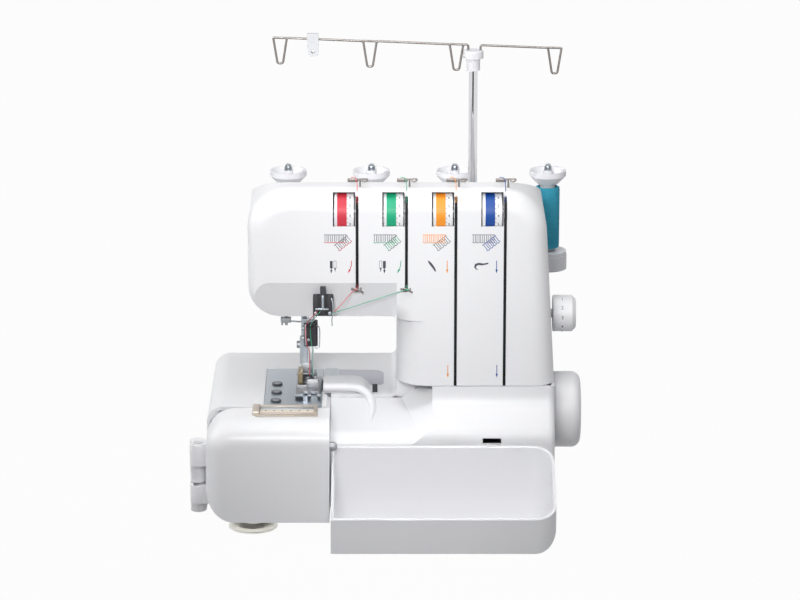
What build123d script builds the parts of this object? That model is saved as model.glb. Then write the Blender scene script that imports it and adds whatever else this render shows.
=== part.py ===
from build123d import *
import os
from math import cos, pi, sin, sqrt

os.makedirs("parts", exist_ok=True)

# A household serger. X runs to the handwheel, Y runs from the sewer to the back, Z is up.
# The origin lies on the table, under the middle of the machine.

# Walls and clearances
wall = 3.0
running_gap = 0.05
seat_gap = 0.3
cover_gap = 0.5
swing_gap = 1.2

# Feet and base
foot_height = 12.0
foot_radius = 21.0
foot_stem_radius = 11.0
foot_rim = 4.0
bottom_thickness = 2.0
base_left = -156.0
base_back = 118.0
base_round = 12.0
bed_top = 100.0
bed_round = 14.0
bed_front = -58.0
works_front = -20.0
foot_inset_x = 40.0
foot_inset_y = 26.0
foot_row = -84.0
foot_screw_radius = 2.0

# Upper casing: a head over the bed and a column down to the seam
casing_front = -52.0
casing_back = 98.0
casing_joint = 40.0
casing_top = 290.0
casing_round = 18.0
seam_rise = 17.0
neck_left = 8.0
neck_round = 28.0
neck_fillet = 6.0
head_left = -120.0
head_bottom = 175.0
head_top_round = 36.0
head_low_round = 28.0
crease_height = 209.0
chin_depth = 15.0
shoulder_round = 40.0
shoulder_lean = 10.0
roof_front = -20.0
roof_back = 252.0
roof_round = 30.0
casing_right = 144.5
base_right = casing_right
seam_height = bed_top + seam_rise

# Thread slits, dial windows and tension dials
slit_first = -26.0
slit_pitch = 42.2
slit_width = 2.6
slit_depth = 8.0
short_slit_bottom = 201.0
dial_radius = 16.0
dial_width = 17.0
dial_height = 268.0
dial_show = 0.8
dial_offset = 2.6
window_margin = 1.0
window_top = 287.0
window_bottom = 258.5
tension_shaft_radius = 2.5
tension_disc_radius = 10.0
tension_disc_thickness = 0.7
tension_disc_gap = 0.5
guide_wire_radius = 0.8
guide_bar_length = 18.0
top_guide_y = -36.0
top_guide_rise = 6.0
thread_radius = 0.3
take_up_left = -64.0
take_up_right = -46.5
take_up_bottom = 180.0
take_up_top = 200.0
take_up_front = -56.0
lamp_left = -44.0
lamp_right = -22.0
lamp_depth = 18.0

# Needle, presser and bed plate
needle_x = -67.0
needle_spacing = 3.0
needle_bar_radius = 3.5
needle_bar_top = 262.0
needle_radius = 0.9
needle_tip = 106.0
clamp_top = 160.0
clamp_bottom = 139.0
clamp_size = 12.0
presser_x = -73.0
presser_y = 22.0
presser_bar_radius = 3.0
presser_bar_top = 258.0
plate_left = -107.0
plate_right = -57.0
plate_back = 57.0
plate_split = -19.0
plate_thickness = wall
plate_screw_radius = 4.2
plate_screw_height = 1.2
plate_screw_pitch = 28.0
rear_screw_drop = 28.0
rear_screw_inset = 50.0
rear_screw_rise = 18.0
guide_left = -114.0
guide_right = -60.0
guide_front = -88.0
guide_thickness = 1.5
guide_fence = 5.0
foot_length = 62.0
foot_front_reach = 38.0
foot_width = 22.0
foot_sole = 3.0
shank_width = 8.0
shank_top = 140.0
shank_bottom = 118.0
needle_slot = 12.0
tooth_row_width = 3.0
tooth_row_offset = 7.5
feed_front = -10.0
feed_back = 22.0
feed_travel = 4.0
feed_rise = 0.2
feed_block_bottom = 86.0
feed_block_height = 7.0

# Cast frame
frame_front = 34.0
frame_back = 56.0
beam_left = -120.0
beam_right = 110.0
beam_height = 14.0
column_left = 62.0
column_right = 100.0
arm_bottom = 216.0
arm_top = 240.0
head_block_bottom = 188.0
head_block_right = -40.0
head_block_left = -84.0
head_block_front = -8.0
bearing_left = -34.0
bearing_right = 88.0
bearing_front = 6.0
bearing_top = 92.0
bearing_post = 12.0
plate_post_left = -105.0
plate_post_width = 8.0
feed_post = (-80.0, -60.0)
knife_post = (-56.0, -47.0)
post_depth = (10.0, 26.0)
bracket_offset = 4.0
bracket_width = 4.0
bracket_left = -93.0
bracket_right = -83.0
bracket_drop = 7.0

# Loopers and knives
upper_looper_z = 46.0
lower_looper_z = 50.0
looper_boss = 6.0
looper_pin_radius = 2.5
looper_thickness = 4.0
upper_looper_front = -14.0
lower_looper_front = -21.0
upper_looper_reach = 24.0
upper_looper_rise = 26.0
lower_looper_reach = 36.0
lower_looper_rise = 28.0
knife_thickness = 3.5
knife_left = -54.0
knife_top = 102.5
knife_bottom = 82.0
knife_front = -14.0
guard_top = 109.0
guard_thickness = 4.5
guard_left = -56.0
guard_right = -12.0
guard_back = 6.0
guard_bend = 9.0

# Drive
shaft_y = 20.0
shaft_z = 74.0
shaft_radius = 6.0
shaft_left = -36.0
crank_radius = 14.0
crank_width = 8.0
crank_throw = 8.0
crank_pin_radius = 3.0
crank_pin_length = 2.0
bearing_radius = 11.0
wheel_radius = 33.5
wheel_width = 24.0
wheel_gap = 1.5
drive_pulley_radius = 26.0
pulley_width = 8.0
pulley_clearance = 4.0
motor_y = 84.0
motor_z = 54.0
motor_radius = 25.0
motor_length = 78.0
motor_pulley_radius = 8.0
motor_shaft_radius = 3.0
belt_thickness = 2.5
belt_width = 6.0
stitch_dial_radius = 16.0
stitch_dial_width = 20.0
stitch_dial_z = 162.0
stitch_shaft_radius = 4.0
inlet_front = 40.0
inlet_width = 26.0
inlet_bottom = 20.0
inlet_height = 17.0
inlet_depth = 16.0
switch_front = 86.0
switch_width = 16.0
switch_bottom = 72.0
switch_height = 13.0
switch_depth = 5.0
trunnion_radius = 1.0
trunnion_length = 2.0

# Foot lifter
lifter_x = -50.0
lifter_z = 196.0
lifter_shaft_radius = 4.0
lifter_arm = 46.0

# Thread stand and spools
spool_y = 141.0
pole_y = 108.0
pole_x = 76.0
pole_radius = 4.0
outer_pole_radius = 5.5
outer_pole_bottom = 132.0
outer_pole_top = 254.0
inner_pole_bottom = 216.0
inner_pole_top = 372.0
collar_radius = 6.0
collar_length = 11.0
cap_disc_radius = 9.0
cap_disc_height = 7.0
tree_radius = 1.0
tree_left_rise = 11.0
tree_right_rise = 2.0
loop_depth = 23.0
loop_half_width = 6.0
clip_x = -66.0
clip_width = 10.0
clip_depth = 6.0
clip_below = 15.0
clip_above = 5.0
loop_places = [-95.0, -15.5, 61.0, 148.0]
spool_first = -89.5
spool_pitch = 75.0
spool_last = 144.5
stand_top = 184.0
stand_thickness = 13.0
stand_half_depth = 18.0
stand_web_left = -60.0
stand_web_right = 112.0
pad_height = 3.5
spool_pin_radius = 2.6
spool_pin_top = 267.0
cap_bottom = 250.0
cap_height = 12.0
cap_rim_radius = 16.5
cap_foot_radius = 9.5
cap_wall = 1.6
core_radius = 7.0
thread_core_radius = 9.3
thread_wire_radius = 0.9
thread_lay_gap = 0.15
thread_turns = 24
thread_margin = 2.6

# Covers and bin
side_front = -110.0
side_right = -52.0
side_round = 20.0
side_corner = 26.0
side_opening = 3.0
hinge_x = -163.5
hinge_y = -75.0
hinge_radius = 6.5
hinge_pin_radius = 2.5
latch_radius = 4.0
latch_y = -92.0
latch_z = 75.0
latch_reach = 9.0
hinge_top = 76.0
knuckle_heights = [foot_height, 22.0, 38.5, 55.5, hinge_top]
chute_right = 38.7
chute_back_height = 97.0
chute_lip = 76.0
chute_bend = 16.0
chute_foot_back = 12.6
chute_foot_front = 30.0
apron_front = -70.0
apron_shoulder = 78.0
apron_neck = 104.0
apron_bend = 22.0
apron_corner = 6.0
looper_left = -49.5
bin_left = -48.0
bin_right = 143.0
bin_back = -75.0
bin_front = -159.0
bin_bottom = 1.0
bin_back_height = 70.0
bin_front_height = 31.0
bin_wall = 2.5
bin_round = 18.0
bin_tab_x = 90.0
bin_tab_width = 9.0
bin_tab_height = 8.0
latch_slot_width = 16.0
latch_slot_height = 5.0


def block(x, y, z, mode=Mode.ADD):
    """A box between two places on each axis."""
    middle = tuple((low + high) / 2 for low, high in (x, y, z))
    with Locations(middle):
        Box(x[1] - x[0], y[1] - y[0], z[1] - z[0], mode=mode)


def rod_x(y, z, radius, x, mode=Mode.ADD):
    """A round bar along X."""
    with Locations(Location(((x[0] + x[1]) / 2, y, z), (0, 90, 0))):
        Cylinder(radius, x[1] - x[0], mode=mode)


def rod_y(x, z, radius, y, mode=Mode.ADD):
    """A round bar along Y."""
    with Locations(Location((x, (y[0] + y[1]) / 2, z), (90, 0, 0))):
        Cylinder(radius, y[1] - y[0], mode=mode)


def rod_z(x, y, radius, z, mode=Mode.ADD):
    """A round bar along Z."""
    with Locations((x, y, (z[0] + z[1]) / 2)):
        Cylinder(radius, z[1] - z[0], mode=mode)


def prism_x(points, x, mode=Mode.ADD):
    """An outline of (y, z) points carried along X."""
    with BuildSketch(Plane.YZ.offset(x[0])) as outline:
        with BuildLine():
            Polyline(*points, close=True)
        make_face()
    extrude(outline.sketch, amount=x[1] - x[0], mode=mode)


def prism_y(points, y, mode=Mode.ADD):
    """An outline of (x, z) points carried along Y."""
    with BuildSketch(Plane.XZ.offset(-y[1])) as outline:
        with BuildLine():
            Polyline(*points, close=True)
        make_face()
    extrude(outline.sketch, amount=y[1] - y[0], mode=mode)


def section_x(points, corners, x):
    """A rounded (y, z) outline carried along X as a piece of its own."""
    with BuildPart() as form:
        with BuildSketch(Plane.YZ.offset(x[0])):
            with BuildLine():
                FilletPolyline(*points, radius=corners, close=True)
            make_face()
        extrude(amount=x[1] - x[0])
    return form.part


def save(piece, name):
    """Label a finished piece and write it."""
    piece.part.label = name
    export_step(piece.part, f"parts/{name}.step")


# Places that several pieces share
slits = [slit_first + slit_pitch * number for number in range(4)]
slit_bottoms = [short_slit_bottom, short_slit_bottom, seam_height, seam_height]
thread_names = ["red", "green", "orange", "blue"]
spools = [spool_first + spool_pitch * number for number in range(3)] + [spool_last]
dial_y = casing_front + dial_show + dial_radius
dial_right = [slit - dial_offset for slit in slits]
wheel_left = base_right + wheel_gap
pulley_right = casing_right - wall - pulley_clearance
pulley_left = pulley_right - pulley_width
motor_right = pulley_left - wall
upper_looper_x = bearing_left + bearing_post / 2
lower_looper_x = plate_post_left + plate_post_width / 2
inlet_span = (inlet_front, inlet_front + inlet_width)
inlet_rise = (inlet_bottom, inlet_bottom + inlet_height)
switch_span = (switch_front, switch_front + switch_width)
switch_rise = (switch_bottom, switch_bottom + switch_height)
switch_z = switch_bottom + switch_height / 2
rocker_x = base_right - wall / 2
base_bottom = foot_height
floor_top = base_bottom + bottom_thickness


# Upper casing
def casing_form(inset):
    """The closed outer form of head and column, drawn in by an inset."""
    left = head_left + inset
    low = head_bottom + inset
    neck = neck_left + inset
    front = casing_front + inset
    top = casing_top - inset
    floor = seam_height - 2 * inset
    outline = [
        (neck, floor),
        (neck, low),
        (left, low),
        (left, top),
        (casing_right - shoulder_lean - inset, top),
        (casing_right - inset, floor),
    ]
    corners = [
        0,
        neck_fillet + inset,
        head_low_round - inset,
        head_top_round - inset,
        shoulder_round - inset,
        0,
    ]
    bend = neck_round - inset
    with BuildPart() as corner:
        block((neck - 1, neck + bend), (front - 1, front + bend), (floor - 1, low))
        rod_z(neck + bend, front + bend, bend, (floor - 2, low + 1), mode=Mode.SUBTRACT)
    with BuildPart() as form:
        with BuildSketch(Plane.XZ.offset(inset - casing_back)):
            with BuildLine():
                FilletPolyline(*outline, radius=corners, close=True)
            make_face()
        extrude(amount=casing_back - casing_front - 2 * inset)
        ends = [form.faces().sort_by(Axis.Y)[0], form.faces().sort_by(Axis.Y)[-1]]
        rims = [edge for end in ends for edge in end.edges() if edge.center().Z > floor + 1]
        fillet(rims, casing_round - inset)
        chin = [
            (front - 1, crease_height + chin_depth / (crease_height - head_bottom)),
            (front - 1, head_bottom - 1),
            (front + chin_depth, head_bottom - 1),
            (front + chin_depth, low - inset),
            (front, crease_height),
        ]
        prism_x(chin, (head_left - 1, neck), mode=Mode.SUBTRACT)
        add(corner.part, mode=Mode.SUBTRACT)
        back = casing_back - inset
        fall = roof_back - inset
        roof = [
            (roof_front, top),
            (back, fall),
            (back, fall - roof_round),
            (back + roof_round, fall - roof_round),
            (back + roof_round, top + 1),
            (roof_front, top + 1),
        ]
        add(section_x(roof, [0, roof_round - inset, 0, 0, 0, 0], (left - 1, casing_right)),
            mode=Mode.SUBTRACT)
    return form.part


casing_outside = casing_form(0)
casing_cavity = casing_form(wall)
joint_plane = Plane.XZ.offset(-casing_joint)

with BuildPart() as front_casing:
    add(casing_outside)
    add(casing_cavity, mode=Mode.SUBTRACT)
    split(bisect_by=joint_plane, keep=Keep.TOP)
    for slit, bottom in zip(slits, slit_bottoms):
        slot = (slit - slit_width / 2, slit + slit_width / 2)
        block(slot, (casing_front - 1, casing_front + slit_depth), (bottom, casing_top + 1),
              mode=Mode.SUBTRACT)
    for right in dial_right:
        window = (right - dial_width - window_margin, right + window_margin)
        depth = (casing_front - 1, casing_front + dial_radius)
        block(window, depth, (window_bottom, window_top), mode=Mode.SUBTRACT)
    rod_x(shaft_y, stitch_dial_z, stitch_shaft_radius + running_gap,
          (casing_right - stitch_dial_width, casing_right + 1),
          mode=Mode.SUBTRACT)
    block((lamp_left, lamp_right), (0, lamp_depth), (head_bottom - 1, head_bottom + 2 * wall),
          mode=Mode.SUBTRACT)
    rod_z(needle_x, 0, needle_bar_radius + swing_gap, (head_bottom - 1, head_bottom + 2 * wall),
          mode=Mode.SUBTRACT)
    rod_z(presser_x, presser_y, presser_bar_radius + swing_gap,
          (head_bottom - 1, head_bottom + 2 * wall),
          mode=Mode.SUBTRACT)
save(front_casing, "front_casing")

with BuildPart() as rear_casing:
    add(casing_outside)
    add(casing_cavity, mode=Mode.SUBTRACT)
    split(bisect_by=joint_plane, keep=Keep.BOTTOM)
    rod_y(lifter_x, lifter_z, lifter_shaft_radius + running_gap, (casing_joint, casing_back + 1),
          mode=Mode.SUBTRACT)
save(rear_casing, "rear_casing")


# Base casing under the bed and the column
def base_form(inset):
    """The closed outer form of the base, drawn in by an inset."""
    bed = bed_top - inset
    seam = seam_height - cover_gap - inset
    low = base_bottom - 2 * inset
    outline = [
        (base_left + inset, low),
        (base_right - inset, low),
        (casing_right - inset, seam),
        (neck_left + inset, seam),
        (neck_left + inset, bed),
        (base_left + inset, bed),
    ]
    corners = [0, 0, 0, 0, neck_fillet + inset, bed_round - inset]
    with BuildPart() as form:
        with BuildSketch(Plane.XZ.offset(inset - base_back)):
            with BuildLine():
                FilletPolyline(*outline, radius=corners, close=True)
            make_face()
        extrude(amount=base_back - bed_front + inset)
        back = form.faces().sort_by(Axis.Y)[-1]
        rims = [edge for edge in back.edges() if low + 1 < edge.center().Z < seam - 1]
        fillet(rims, base_round - inset)
    return form.part


with BuildPart() as base_casing:
    add(base_form(0))
    add(base_form(wall), mode=Mode.SUBTRACT)
    block((looper_left - cover_gap - wall, base_right + 1), (bed_front - 1, works_front),
          (base_bottom - 1, seam_height),
          mode=Mode.SUBTRACT)
    block((plate_left - seat_gap, plate_right + seat_gap), (bed_front - 1, plate_back + seat_gap),
          (bed_top - 2 * wall, bed_top + 1),
          mode=Mode.SUBTRACT)
    block((knife_left - swing_gap, knife_post[1] + wall), (works_front, post_depth[0] + wall),
          (bed_top - 2 * wall, bed_top + 1),
          mode=Mode.SUBTRACT)
    block((neck_left + 2 * wall, casing_right - 3 * wall), (works_front + wall, casing_back - 2 * wall),
          (seam_height - 3 * wall, seam_height + 1), mode=Mode.SUBTRACT)
    rod_x(shaft_y, shaft_z, shaft_radius + swing_gap, (casing_right - 5 * wall, base_right + 1),
          mode=Mode.SUBTRACT)
    block((base_right - 2 * wall, base_right + 1), inlet_span, inlet_rise, mode=Mode.SUBTRACT)
    block((base_right - 2 * wall, base_right + 1), switch_span, switch_rise, mode=Mode.SUBTRACT)
    rod_y(rocker_x, switch_z, trunnion_radius + running_gap,
          (switch_span[0] - trunnion_length - cover_gap,
           switch_span[1] + trunnion_length + cover_gap), mode=Mode.SUBTRACT)
    block((neck_left, chute_right + 2 * wall), (works_front, works_front + wall),
          (chute_back_height + cover_gap, seam_height - cover_gap))
save(base_casing, "base_casing")

# Bottom plate and suction feet
plate_inset = wall + cover_gap
foot_places = [
    (base_left + foot_inset_x, foot_row),
    (base_left + foot_inset_x, base_back - foot_inset_y),
    (base_right - foot_inset_x, base_back - foot_inset_y),
    (base_right - foot_inset_x, apron_front + foot_inset_y),
]

with BuildPart() as bottom_plate:
    block((base_left + side_corner + wall + swing_gap, side_right - 3 * wall),
          (side_front + plate_inset, bed_front),
          (base_bottom, floor_top))
    block((base_left + plate_inset, side_right - plate_inset), (bed_front, base_back - plate_inset),
          (base_bottom, floor_top))
    block((side_right - plate_inset, base_right - plate_inset), (bed_front, base_back - plate_inset),
          (base_bottom, floor_top))
    block((looper_left, base_right - plate_inset), (apron_front + plate_inset, bed_front),
          (base_bottom, floor_top))
    fillet(bottom_plate.edges().filter_by(Axis.Z).sort_by(Axis.Y)[-2:], base_round)
    for x, y in foot_places:
        rod_z(x, y, foot_screw_radius, (base_bottom - 1, floor_top + 1), mode=Mode.SUBTRACT)
save(bottom_plate, "bottom_plate")

with BuildPart() as suction_feet:
    with BuildSketch(Plane.XZ) as foot_profile:
        with BuildLine():
            Polyline(
                (0, foot_height / 4),
                (foot_radius * 0.7, foot_height / 8),
                (foot_radius - foot_rim, 0),
                (foot_radius, 0),
                (foot_radius, 1.5),
                (foot_stem_radius, foot_height / 2),
                (foot_stem_radius, foot_height),
                (0, foot_height),
                close=True,
            )
        make_face()
    with Locations(*[(x, y, 0) for x, y in foot_places]):
        add(revolve(foot_profile.sketch, Axis.Z, 360, mode=Mode.PRIVATE))
save(suction_feet, "suction_feet")


# Side cover, which swings out on a barrel hinge at its left end
def side_form(inset):
    """The rounded box of the side cover, drawn in by an inset and open below and behind."""
    left = base_left + inset
    right = side_right - inset
    top = bed_top - inset
    back = bed_front - side_opening + inset
    low = base_bottom - 2 * inset
    outline = [(right, low), (left, low), (left, top), (right, top)]
    bend = side_corner - inset
    with BuildPart() as corner:
        block((left - 1, left + bend), (side_front - 1, back + 1), (low - 1, base_bottom + inset + bend))
        rod_y(left + bend, base_bottom + inset + bend, bend, (side_front - 2, back + 2),
              mode=Mode.SUBTRACT)
        block((left - 2, left + bend + 1), (side_front - 2, back + 2), (low - 2, base_bottom),
              mode=Mode.SUBTRACT)
    with BuildPart() as form:
        with BuildSketch(Plane.XZ.offset(-back)):
            with BuildLine():
                FilletPolyline(*outline, radius=[0, 0, bend, 0], close=True)
            make_face()
        extrude(amount=back - side_front - inset)
        face = form.faces().sort_by(Axis.Y)[0]
        rims = [edge for edge in face.edges()
                if edge.center().Z > low + 1 and edge.center().X < right - 1]
        fillet(rims, side_round - inset)
        add(corner.part, mode=Mode.SUBTRACT)
    return form.part


def knuckle(number):
    """One barrel knuckle, counted from below."""
    low = knuckle_heights[number]
    high = knuckle_heights[number + 1] - cover_gap
    rod_z(hinge_x, hinge_y, hinge_radius, (low, high))
    return low, high


with BuildPart() as side_cover:
    add(side_form(0))
    add(side_form(wall), mode=Mode.SUBTRACT)
    for number in (1, 3):
        low, high = knuckle(number)
        block((hinge_x - hinge_radius / 2, base_left + wall / 2), (hinge_y - 2 * hinge_radius, hinge_y),
              (low, high))
    rod_z(hinge_x, hinge_y, hinge_pin_radius + running_gap, (base_bottom, hinge_top - wall),
          mode=Mode.SUBTRACT)
    rod_x(latch_y, latch_z, latch_radius, (side_right - 2 * wall, side_right + 1), mode=Mode.SUBTRACT)
save(side_cover, "side_cover")

with BuildPart() as hinge_leaf:
    for number in (0, 2):
        low, high = knuckle(number)
        block((hinge_x - 1, base_left - seat_gap), (hinge_y, bed_front + wall), (low, high))
    block((hinge_x - 1, base_left), (bed_front + seat_gap, bed_front + 5 * wall),
          (knuckle_heights[0], knuckle_heights[3]))
    rod_z(hinge_x, hinge_y, hinge_pin_radius, (base_bottom, hinge_top - wall - cover_gap))
save(hinge_leaf, "hinge_leaf")

with BuildPart() as latch_pin:
    rod_x(latch_y, latch_z, latch_radius, (side_right - 3 * wall, side_right + latch_reach))
    fillet(latch_pin.edges().group_by(Axis.X)[-1], latch_radius * 0.9)
save(latch_pin, "latch_pin")


# Looper cover: a flared front panel with a scooped chute on its left
cover_back = works_front - cover_gap


def panel_outline(inset):
    """Section of the front panel, flared from the seam to the apron."""
    top = seam_height - cover_gap + inset
    low = floor_top + cover_gap - inset
    return [
        (cover_back + inset, low),
        (apron_front + inset, low),
        (apron_front + inset, apron_shoulder),
        (casing_front + inset, apron_neck),
        (casing_front + inset, top),
        (cover_back + inset, top),
    ]


def chute_outline(inset):
    """Section of the chute, a ramp from the bed down to the lip of the apron."""
    low = floor_top + cover_gap - inset
    return [
        (cover_back + inset, low),
        (apron_front + inset, low),
        (apron_front + inset, chute_lip - inset),
        (cover_back + inset, chute_back_height - inset),
    ]


panel_bends = [0, 0, apron_bend, apron_bend, 0, 0]
chute_bends = [0, 0, chute_bend, 0]

with BuildPart() as panel_solid:
    add(section_x(panel_outline(0), panel_bends, (chute_right, base_right)))
    side = panel_solid.faces().sort_by(Axis.X)[-1]
    rims = [edge for edge in side.edges() if edge.center().Y < casing_front + 1 and edge.length > 1
            and edge.center().Z > floor_top + 1 and edge.center().Z < seam_height - cover_gap - 0.1]
    fillet(rims, apron_corner)

# Slanted wall that leads from the panel's left edge down to the chute
wall_low = Vector(chute_foot_back, cover_back, chute_back_height)
wall_front = Vector(chute_foot_front, apron_front, chute_lip)
wall_high = Vector(chute_right, cover_back, seam_height - cover_gap)
wall_slant = Plane(wall_low, z_dir=(wall_front - wall_low).cross(wall_high - wall_low))

with BuildPart() as chute_wall:
    add(section_x(panel_outline(0), panel_bends, (chute_foot_back, chute_right + wall / 2)))
    split(bisect_by=wall_slant, keep=Keep.BOTTOM)

with BuildPart() as looper_cover:
    add(panel_solid.part)
    add(section_x(panel_outline(wall), panel_bends, (chute_right + wall, base_right - wall)),
        mode=Mode.SUBTRACT)
    add(section_x(chute_outline(0), chute_bends, (looper_left, chute_right)))
    add(chute_wall.part)
    add(section_x(chute_outline(wall), chute_bends, (looper_left + wall, chute_right + wall / 2)),
        mode=Mode.SUBTRACT)
    block((bin_tab_x - latch_slot_width / 2, bin_tab_x + latch_slot_width / 2),
          (apron_front - 1, apron_front + 2 * wall),
          (bin_back_height, bin_back_height + latch_slot_height), mode=Mode.SUBTRACT)
save(looper_cover, "looper_cover")

# Waste bin, hooked on under the chute
def bin_form(inset):
    """The bin's outer form, drawn in by an inset and open above."""
    lift = 4 * inset
    outline = [
        (bin_back - inset, bin_bottom + inset),
        (bin_front + inset, bin_bottom + inset),
        (bin_front + inset, bin_front_height + lift),
        (bin_back - inset, bin_back_height + lift),
    ]
    with BuildPart() as form:
        with BuildSketch(Plane.YZ.offset(bin_left + inset)):
            with BuildLine():
                Polyline(*outline, close=True)
            make_face()
        extrude(amount=bin_right - bin_left - 2 * inset)
        right = form.faces().sort_by(Axis.X)[-1]
        rims = [edge for edge in right.edges() if edge.center().Z < bin_back_height * 0.6 + lift
                and abs(edge.tangent_at(0.5).Z) * abs(edge.tangent_at(0.5).Y) < 0.01]
        fillet(rims, bin_round - inset)
    return form.part


with BuildPart() as waste_bin:
    add(bin_form(0))
    add(bin_form(bin_wall), mode=Mode.SUBTRACT)
    block((bin_tab_x - bin_tab_width / 2, bin_tab_x + bin_tab_width / 2),
          (bin_back - bin_wall / 2, apron_front - seat_gap),
          (bin_back_height - bin_tab_height, bin_back_height))
save(waste_bin, "waste_bin")


# Cast frame: beam, column and arm, with posts for the shaft, the plate, the feed and the knife
plate_bottom = bed_top - plate_thickness
beam_top = floor_top + beam_height

cheek_front = dial_y - 2 * tension_shaft_radius
cheek_top = dial_height + 2 * tension_shaft_radius
cheek_outline = [
    (cheek_front, arm_top - 1),
    (frame_back, arm_top - 1),
    (frame_back, arm_top + bracket_width),
    (head_block_front, cheek_top),
    (cheek_front, cheek_top),
]

with BuildPart() as machine_frame:
    block((beam_left, beam_right), (post_depth[0], frame_back), (floor_top, beam_top))
    block((column_left, column_right), (frame_front, frame_back), (beam_top, arm_top))
    block((head_block_left, beam_right), (frame_front, frame_back), (arm_bottom, arm_top))
    block((head_block_left, head_block_right), (head_block_front, frame_back),
          (head_block_bottom, arm_top))
    for left in (bearing_left, bearing_right):
        block((left, left + bearing_post), (bearing_front, frame_front), (floor_top, bearing_top))
    block((plate_post_left, plate_post_left + plate_post_width), post_depth, (beam_top, plate_bottom))
    block(feed_post, post_depth, (beam_top, feed_block_bottom - seat_gap))
    block(knife_post, post_depth, (beam_top, plate_bottom))
    for slit in slits:
        cheek = (slit + bracket_offset, slit + bracket_offset + bracket_width)
        prism_x(cheek_outline, cheek)
        rod_x(dial_y, dial_height, tension_shaft_radius, (cheek[0] - 1, cheek[1] + 1),
              mode=Mode.SUBTRACT)
    rod_z(needle_x, 0, needle_bar_radius + running_gap, (head_block_bottom - 1, arm_top + 1),
          mode=Mode.SUBTRACT)
    rod_z(presser_x, presser_y, presser_bar_radius + running_gap, (head_block_bottom - 1, arm_top + 1),
          mode=Mode.SUBTRACT)
    rod_y(lifter_x, lifter_z, lifter_shaft_radius + running_gap, (frame_front, frame_back + 1),
          mode=Mode.SUBTRACT)
    for left in (bearing_left, bearing_right):
        rod_x(shaft_y, shaft_z, bearing_radius, (left - 1, left + bearing_post + 1), mode=Mode.SUBTRACT)
    block((motor_right - motor_length * 0.8, motor_right - motor_length * 0.2),
          (frame_back, motor_y + motor_radius * 0.6), (floor_top, motor_z - motor_radius / 2))
    rod_x(motor_y, motor_z, motor_radius, (motor_right - motor_length, motor_right), mode=Mode.SUBTRACT)
    rod_y(upper_looper_x, upper_looper_z, looper_pin_radius, (upper_looper_front - 1, bearing_front))
    rod_y(lower_looper_x, lower_looper_z, looper_pin_radius, (lower_looper_front - 1, post_depth[0]))
save(machine_frame, "machine_frame")

# Main shaft, its bearings, crank, pulley and handwheel
with BuildPart() as shaft_bearings:
    for left in (bearing_left, bearing_right):
        rod_x(shaft_y, shaft_z, bearing_radius, (left, left + bearing_post))
        rod_x(shaft_y, shaft_z, shaft_radius + running_gap, (left, left + bearing_post),
              mode=Mode.SUBTRACT)
save(shaft_bearings, "shaft_bearings")

with BuildPart() as main_shaft:
    rod_x(shaft_y, shaft_z, shaft_radius, (shaft_left, wheel_left + wheel_width - wall))
    rod_x(shaft_y, shaft_z, crank_radius, (shaft_left - crank_width, shaft_left))
    rod_x(shaft_y, shaft_z + crank_throw, crank_pin_radius,
          (shaft_left - crank_width - crank_pin_length, shaft_left - crank_width))
save(main_shaft, "main_shaft")

with BuildPart() as drive_pulley:
    rod_x(shaft_y, shaft_z, drive_pulley_radius, (pulley_left, pulley_right))
    rod_x(shaft_y, shaft_z, shaft_radius, (pulley_left - 1, pulley_right + 1), mode=Mode.SUBTRACT)
save(drive_pulley, "drive_pulley")

with BuildPart() as handwheel:
    rod_x(shaft_y, shaft_z, wheel_radius, (wheel_left, wheel_left + wheel_width))
    fillet(handwheel.edges().group_by(Axis.X)[-1], wheel_width / 3)
    fillet(handwheel.edges().group_by(Axis.X)[0], wheel_width / 12)
    rod_x(shaft_y, shaft_z, shaft_radius, (wheel_left - 1, wheel_left + wheel_width - wall),
          mode=Mode.SUBTRACT)
save(handwheel, "handwheel")

# Motor with its pulley and belt
with BuildPart() as motor:
    rod_x(motor_y, motor_z, motor_radius, (motor_right - motor_length, motor_right))
    fillet(motor.edges().filter_by(GeomType.CIRCLE), wall)
    rod_x(motor_y, motor_z, motor_shaft_radius + running_gap,
          (motor_right - motor_length / 3, motor_right + 1),
          mode=Mode.SUBTRACT)
save(motor, "motor")

with BuildPart() as motor_pulley:
    rod_x(motor_y, motor_z, motor_pulley_radius, (pulley_left, pulley_right))
    rod_x(motor_y, motor_z, motor_shaft_radius, (motor_right - motor_length / 3 + 1, pulley_left))
save(motor_pulley, "motor_pulley")


def belt_outline(grow):
    """The loop round both pulleys, grown outward from their rims."""
    with BuildSketch(Plane.YZ.offset((pulley_left + pulley_right - belt_width) / 2)) as loop:
        with Locations((shaft_y, shaft_z)):
            Circle(drive_pulley_radius + grow)
        with Locations((motor_y, motor_z)):
            Circle(motor_pulley_radius + grow)
        make_hull(loop.sketch_local.edges())
    return loop.sketch


with BuildPart() as drive_belt:
    extrude(belt_outline(seat_gap + belt_thickness), amount=belt_width)
    extrude(belt_outline(seat_gap), amount=belt_width, mode=Mode.SUBTRACT)
save(drive_belt, "drive_belt")


# Needle bar, clamp and needles
needle_places = [needle_x - needle_spacing / 2, needle_x + needle_spacing / 2]

with BuildPart() as needle_bar:
    rod_z(needle_x, 0, needle_bar_radius, (clamp_top, needle_bar_top))
save(needle_bar, "needle_bar")

with BuildPart() as needle_clamp:
    block((needle_x - clamp_size / 2, needle_x + clamp_size / 2), (-clamp_size / 2, clamp_size / 2),
          (clamp_bottom, clamp_top))
    chamfer(needle_clamp.edges().filter_by(Axis.Z), clamp_size / 8)
    for x in needle_places:
        rod_z(x, 0, needle_radius, (clamp_bottom - 1, (clamp_bottom + clamp_top) / 2),
              mode=Mode.SUBTRACT)
        rod_y(x, clamp_top - clamp_size / 3, needle_spacing * 0.4, (-clamp_size * 0.75, -clamp_size / 2))
save(needle_clamp, "needle_clamp")

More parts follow.
